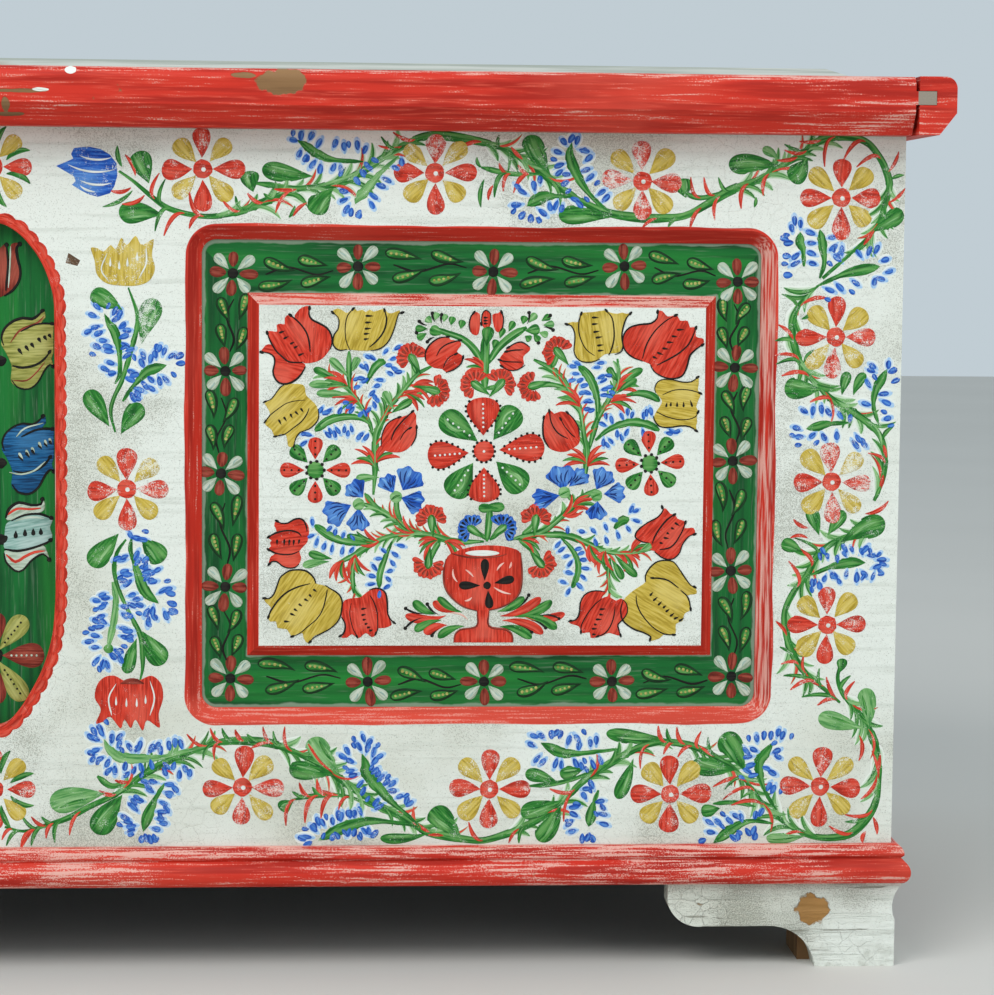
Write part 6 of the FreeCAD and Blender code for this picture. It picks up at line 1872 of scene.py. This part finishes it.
def goblet(canvas):
    """A red goblet with a black flower on its bowl, and leaf sprays at its foot."""
    bowl = smooth(
        points(
            "308,285.5 311,289.5 320,293 331,295.2 344,295.2 354,293.4 359.3,290 360.2,279.5 360,267.7 "
            "357.5,260.5 351,255 344,251.8 336,250.4 329,250.2 320,253.2 312,259.5 307.5,266.8 "
            "306.5,276.8"),
        2.0, True)
    patch(canvas, "red", bowl, "petal", 0.0, (333, 295), (333, 250))
    foot = points(
        "329.7,252 329.7,239 318,236.6 314.5,233.5 313.6,228 354.6,228 354,233.5 350,236.6 337.9,239 "
        "337.9,252")
    patch(canvas, "red", foot, "leaf", 0.0, (333, 252), (333, 228))
    turns = [math.tau * index / 28 for index in range(28)]
    mouth = [(333 + 12 * math.cos(turn), 290 + 2.3 * math.sin(turn)) for turn in turns]
    patch(canvas, "white", mouth, "centre", 0.0)
    for text in (
            "308,286 306.5,276.8 307.5,266.8 312,259.5 320,253.2 329.4,250",
            "359.3,290.5 360.2,279.5 360,267.7 357.5,260.5 351,255 344,251.8 338,250.4",
            "329.7,250 329.5,239.5 318,237 314.5,233 313.8,228.4",
            "338,250.4 338,239.5 350,237 354,233 354.6,228.4",
            "312,289.6 322,287.4 333,287 345,288 350,289.6"):
        line_stroke(canvas, "dark_red", points(text), 1.4, "line")
    for base, tip in (((334.8, 271), (334.8, 286)), ((331.5, 267.7), (317, 267.7)),
                      ((341.5, 269.3), (355, 272.5)), ((337, 264), (338.4, 251.8))):
        petal(canvas, "black", base, tip, 7.4, "line")
    disc(canvas, "black", (336.5, 267.7), 2.9, "line")
    for text in ("321.5,278.5 327,273.5", "348,283.5 343,278", "353,284 351.5,279.5", "341,266.5 353,261.8",
                 "321,257 326,259.5", "313,279 316,270"):
        comma(canvas, "pale_red", *points(text), 1.8, "dot", 0.1)
    drops(
        canvas, "leaf",
        "301.0,247.8 286.1,257.1 319.4,249.2 302.9,259.7 305.0,243.5 287.0,235.9 320.8,239.5 303.1,231.4 "
        "343.7,249.7 361.8,259.8 353.6,246.5 381.2,257.1 360.9,246.3 384.7,237.5 345.4,239.1 367.4,230.9",
        7.0)
    drops(
        canvas, "red",
        "314.8,249.4 299.6,256.7 308.2,246.8 280.4,247.0 308.9,240.2 293.6,234.2 345.7,246.5 373.3,259.3 "
        "362.2,246.0 390.2,248.4 347.1,243.3 375.3,234.2", 7.0)
    pins(
        canvas,
        "303.0,247.6 295.4,254.7 293.8,248.4 280.6,251.7 292.7,245.4 280.4,238.0 305.0,239.1 298.8,233.0 "
        "354.9,251.4 365.2,261.0 373.4,246.8 386.2,244.8 367.5,243.6 377.1,238.3 358.0,240.2 367.6,235.4")
    comma(canvas, "pale_red", *points("323.4,243.9 311.5,248.4"), 1.2)


def band(canvas):
    """The green band round a field: a flower at each station and pods that point left or upward."""
    stations = points(
        "162,480 247,485.5 339.5,482.5 429.5,487 508,477 507,418 506.5,353.5 506.5,277 508,203 424.5,199.5 "
        "335.5,199.5 255,199.5 160.5,202 157,265.5 154,343.5 157,413.5")
    for index, place in enumerate(stations):
        following = stations[(index + 1) % len(stations)]
        band_flower(canvas, place)
        if index < len(stations) // 2:
            pod_branch(canvas, following, place, 1 if index % 2 else -1)
        else:
            pod_branch(canvas, place, following, 1 if index % 2 else -1)


def moved(text, rise):
    """The same points, higher by rise."""
    return " ".join(f"{x},{z + rise}" for x, z in points(text))


def medallion(side, middle, face):
    """Tulips and a rosette on the medallion's green, and the red scallops round it."""
    centre = (0, 218)
    line_stroke(middle, "leaf", points("0,462 0,420 0,380 0,340 0,300 0,262 0,240"), 6.0)
    drawn_flower(middle, "dark_red", (
        "0,462 9,465 10.5,480 9.5,498 4,495 0,499 -4,495 -9.5,498 -10.5,480 -9,465",))
    drawn_flower(side, "dark_red", (
        "8,464 13.8,467.5 18,473.8 18.8,481 17,488.8 16.4,496 18.6,499 13,498.5 11.5,490 10.5,475",), (
        "19,499 16.4,496 17,489 18.8,481 18,474 13.8,467.5 8,463.5", "9.6,498.5 10.6,484 9,467"), "", 2.0)
    line_stroke(side, "dim_white", points("12.4,497 12,485 10.8,469"), 1.4, "dot")
    cup = (
        "5.6,430.6 6.3,435 8,441 12.5,445.6 20,448 26.3,447.5 31.3,450.6 34.6,454 35.6,449 33,445.5 "
        "40.5,445 40.8,438 41,432 40.8,425 39.5,421 41,416 38.5,417 35,413.8 30,405 24,400.6 16.3,401.9 "
        "12,406 12.5,416 8.8,425")
    strokes = ("34,454 30.5,450.3 26.5,447.9 20.5,448.5 13.8,446.3 8.1,441.3 6,435 7.5,430",
               "40.6,444.8 34,445 27.5,443.8 18.8,439.4",
               "38.6,426.3 35,421.3 28.8,416.9 20,415 13.1,416.3",
               "41.2,415.6 38.5,417.3 35,413.8 30,405 23.8,400.6 16.3,401.9 12.5,406.9")
    marks = (
        "17,428 20,423.8 21.8,430 24.4,426.2 25.6,431.8 28,428.4 30.4,435.4 32.6,432 34.4,436.8 36.4,433.6 "
        "37.6,438 39.4,435.2")
    drawn_flower(side, "olive", (cup,), strokes, marks, 1.7, broad=2.9)
    for text in ("12,432 18.8,440.6 30,445.4 34.6,450", "13.8,406.3 22.5,406.3 28.8,411.3 35,418.8"):
        line_stroke(side, "dark_red", points(text), 1.5, "centre")
    lower = -71.5
    drawn_flower(side, "deep_blue", (moved(cup, lower),), [moved(text, lower) for text in strokes],
                 moved(marks, lower - 1), 1.9, broad=2.7)
    drawn_flower(side, "deep_blue", (), (), moved(marks, lower + 0.6), 1.0, "dim_white", broad=2.3)
    for text in ("15.6,368 21.3,373.8 33.8,377.5", "10.6,343.8 18.8,342.5 27.5,345 35,351.3"):
        line_stroke(side, "dim_white", points(text), 1.3, "dot")
    drawn_flower(
        side, "dim_white",
        ("8,312 10.5,318.8 16.8,323 25.5,321.3 31.8,322 33.5,326 34.6,320 32,316.5 22,314.5 12,311",
         "7,290 8,282.5 14.3,276.5 19.3,277 25.5,283.8 33,288 37.4,284 36,289 33,294 25,292 15,290"),
        (), "", 1.0, "black", "leaf")
    drawn_flower(
        side, "pale_grey",
        ("7,300 8,308 12,311 20.5,314.4 30.5,315.3 39.6,312.3 38,306 39.6,301 38.6,298 35.5,295.6 "
         "25.5,291.9 15.5,290 7,291.3",),
        ("39.4,312.3 30.5,315.3 20.5,314.4 11.8,310.6",
         "38.6,298 35.5,295.6 25.5,291.9 15.5,290 6.8,291.3",
         "33,326 31.8,322 25.5,321.3 16.8,323 10.5,318.8 8,312.5",
         "37.6,283.6 33,288 25.5,283.8 19.3,276.9 14.3,276.3 8,282.5 6.8,288.8"),
        "14.6,298.6 14.8,304 21,300 20.9,305.2 26.6,300.6 26.5,305.6 31.8,301 31.5,305.8", 1.9, broad=3.6)
    for text in ("8,313.8 15.5,318.8 24,318.6 31.8,319.4", "8,287.5 14.3,282.5 20,285.6 27,289 34.3,290"):
        line_stroke(side, "red", points(text), 2.2, "centre")
    comma(side, "dim_white", (14, 310), (34, 312), 2.2, "centre", bend=0.1)
    for place in (421, 350, 300):
        comma(side, "black", (1, place - 2), (9, place), 8.0, "centre")
    for angle, reach, width, colour, dot in ((0, 33.5, 18, "dark_red", "dim_white"),
                                             (180, 33.5, 18, "dark_red", "dim_white"),
                                             (90, 30, 16, "dark_red", "dim_white"),
                                             (270, 34, 16, "dark_red", "dim_white"),
                                             (52, 34, 15, "olive", "black"),
                                             (128, 34, 15, "olive", "black"),
                                             (-57, 37, 15, "olive", "black"),
                                             (-123, 37, 15, "olive", "black")):
        dotted_petal(middle, colour, polar(centre, 5, angle), polar(centre, reach, angle), width, dot, 6)
    disc(middle, "black", centre, 5.5)
    edge = points(
        "0,516.5 10,514.5 19,509.5 27,502 35,491 41,478 45,462 45.5,440 45.5,400 46,350 46,300 45.5,265 "
        "44,240 41,224 36,209 29,195 21,182 12,171.5 5,167 0,166")
    scallops(face, edge, 9.5, 14.0, 7.5)


top_garland(FRONT)
right_column(FRONT)
bottom_garland(FRONT)
left_column(FRONT)
middle_rosettes(MIDDLE)
bouquet(FIELD)
band(BAND)
medallion(MEDALLION, CREST, FRONT)

# Each side board has the same goblet of flowers
side_middle = (side_low[1] + side_high[1]) / 2
bouquet(Canvas("side_right", "white_ground", (SIDE_X, side_middle - PANEL_X, 0), (0, 1, 0), (1, 0, 0)))
bouquet(Canvas("side_left", "white_ground", (-SIDE_X, side_middle + PANEL_X, 0), (0, -1, 0), (-1, 0, 0)))


def stroke_object(name, strokes, material):
    """One mesh of all strokes of a colour on a face."""
    mesh = bpy.data.meshes.new(name)
    mesh.from_pydata(strokes.vertices, [], strokes.faces)
    mesh.attributes.new("stroke", "FLOAT_VECTOR", "POINT").data.foreach_set("vector", strokes.stroke)
    mesh.attributes.new("mark", "FLOAT_VECTOR", "POINT").data.foreach_set("vector", strokes.mark)
    shell = bmesh.new()
    shell.from_mesh(mesh)
    bmesh.ops.recalc_face_normals(shell, faces=shell.faces)
    shell.to_mesh(mesh)
    shell.free()
    mesh.materials.append(material)
    piece = bpy.data.objects.new(name, mesh)
    bpy.context.scene.collection.objects.link(piece)
    return piece


stroke_materials = {}
for (canvas_name, ground, colour), strokes in laid.items():
    if (colour, ground) not in stroke_materials:
        stroke_materials[colour, ground] = stroke_paint(colour, ground)
    piece = stroke_object(f"strokes_{canvas_name}_{colour}", strokes, stroke_materials[colour, ground])
    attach(piece, "carcass")


def add_camera():
    """The photograph's viewpoint, in the chest's frame."""
    place = Vector((216.3, -2185.2, 498.3)) * MM
    yaw, pitch, roll = (math.radians(turn) for turn in (3.791, 5.079, 0.514))
    right = Vector((math.cos(yaw), -math.sin(yaw), 0))
    ahead = Vector((math.sin(yaw) * math.cos(pitch), math.cos(yaw) * math.cos(pitch), -math.sin(pitch)))
    up = right.cross(ahead)
    turned_right = right * math.cos(roll) + up * math.sin(roll)
    turned_up = up * math.cos(roll) - right * math.sin(roll)
    focal_pixels = 2800
    picture_height = 995
    data = bpy.data.cameras.new("camera")
    data.sensor_width = 36
    data.lens = focal_pixels / picture_height * data.sensor_width
    camera = bpy.data.objects.new("camera", data)
    turn = Matrix((turned_right, turned_up, -ahead)).transposed()
    camera.matrix_world = Matrix.Translation(place) @ turn.to_4x4()
    bpy.context.scene.collection.objects.link(camera)
    bpy.context.scene.camera = camera


def add_floor():
    """A plain pale floor."""
    reach = 9.0
    mesh = bpy.data.meshes.new("floor")
    mesh.from_pydata([(-reach, -reach, 0), (reach, -reach, 0), (reach, reach, 0), (-reach, reach, 0)], [],
                     [(0, 1, 2, 3)])
    graph = Graph("floor_pale")
    tone = graph.noise(1.5, 2.0)
    colour = graph.mix(tone, colour_of(206, 203, 197), colour_of(216, 213, 207))
    mesh.materials.append(graph.finish(colour, 0.7))
    floor = bpy.data.objects.new("floor", mesh)
    bpy.context.scene.collection.objects.link(floor)


def add_light(name, place, target, size, power):
    """A round soft light that points at a target."""
    data = bpy.data.lights.new(name, "AREA")
    data.shape = "DISK"
    data.size = size
    data.energy = power
    lamp = bpy.data.objects.new(name, data)
    lamp.location = place
    lamp.rotation_euler = (Vector(target) - Vector(place)).to_track_quat("-Z", "Y").to_euler()
    bpy.context.scene.collection.objects.link(lamp)


def add_surroundings():
    """A pale sky, a main light and a weaker one."""
    world = bpy.data.worlds.new("studio")
    bpy.context.scene.world = world
    world.use_nodes = True
    background = world.node_tree.nodes["Background"]
    background.inputs["Color"].default_value = colour_of(226, 240, 248)
    background.inputs["Strength"].default_value = 0.7
    add_light("key", (-1.2, -2.2, 2.9), (0, 0, 0.3), 2.2, 66)
    add_light("fill", (2.4, -2.2, 1.8), (0.2, 0, 0.3), 2.2, 22)


add_camera()
add_floor()
add_surroundings()
bpy.context.scene.view_settings.view_transform = "Standard"
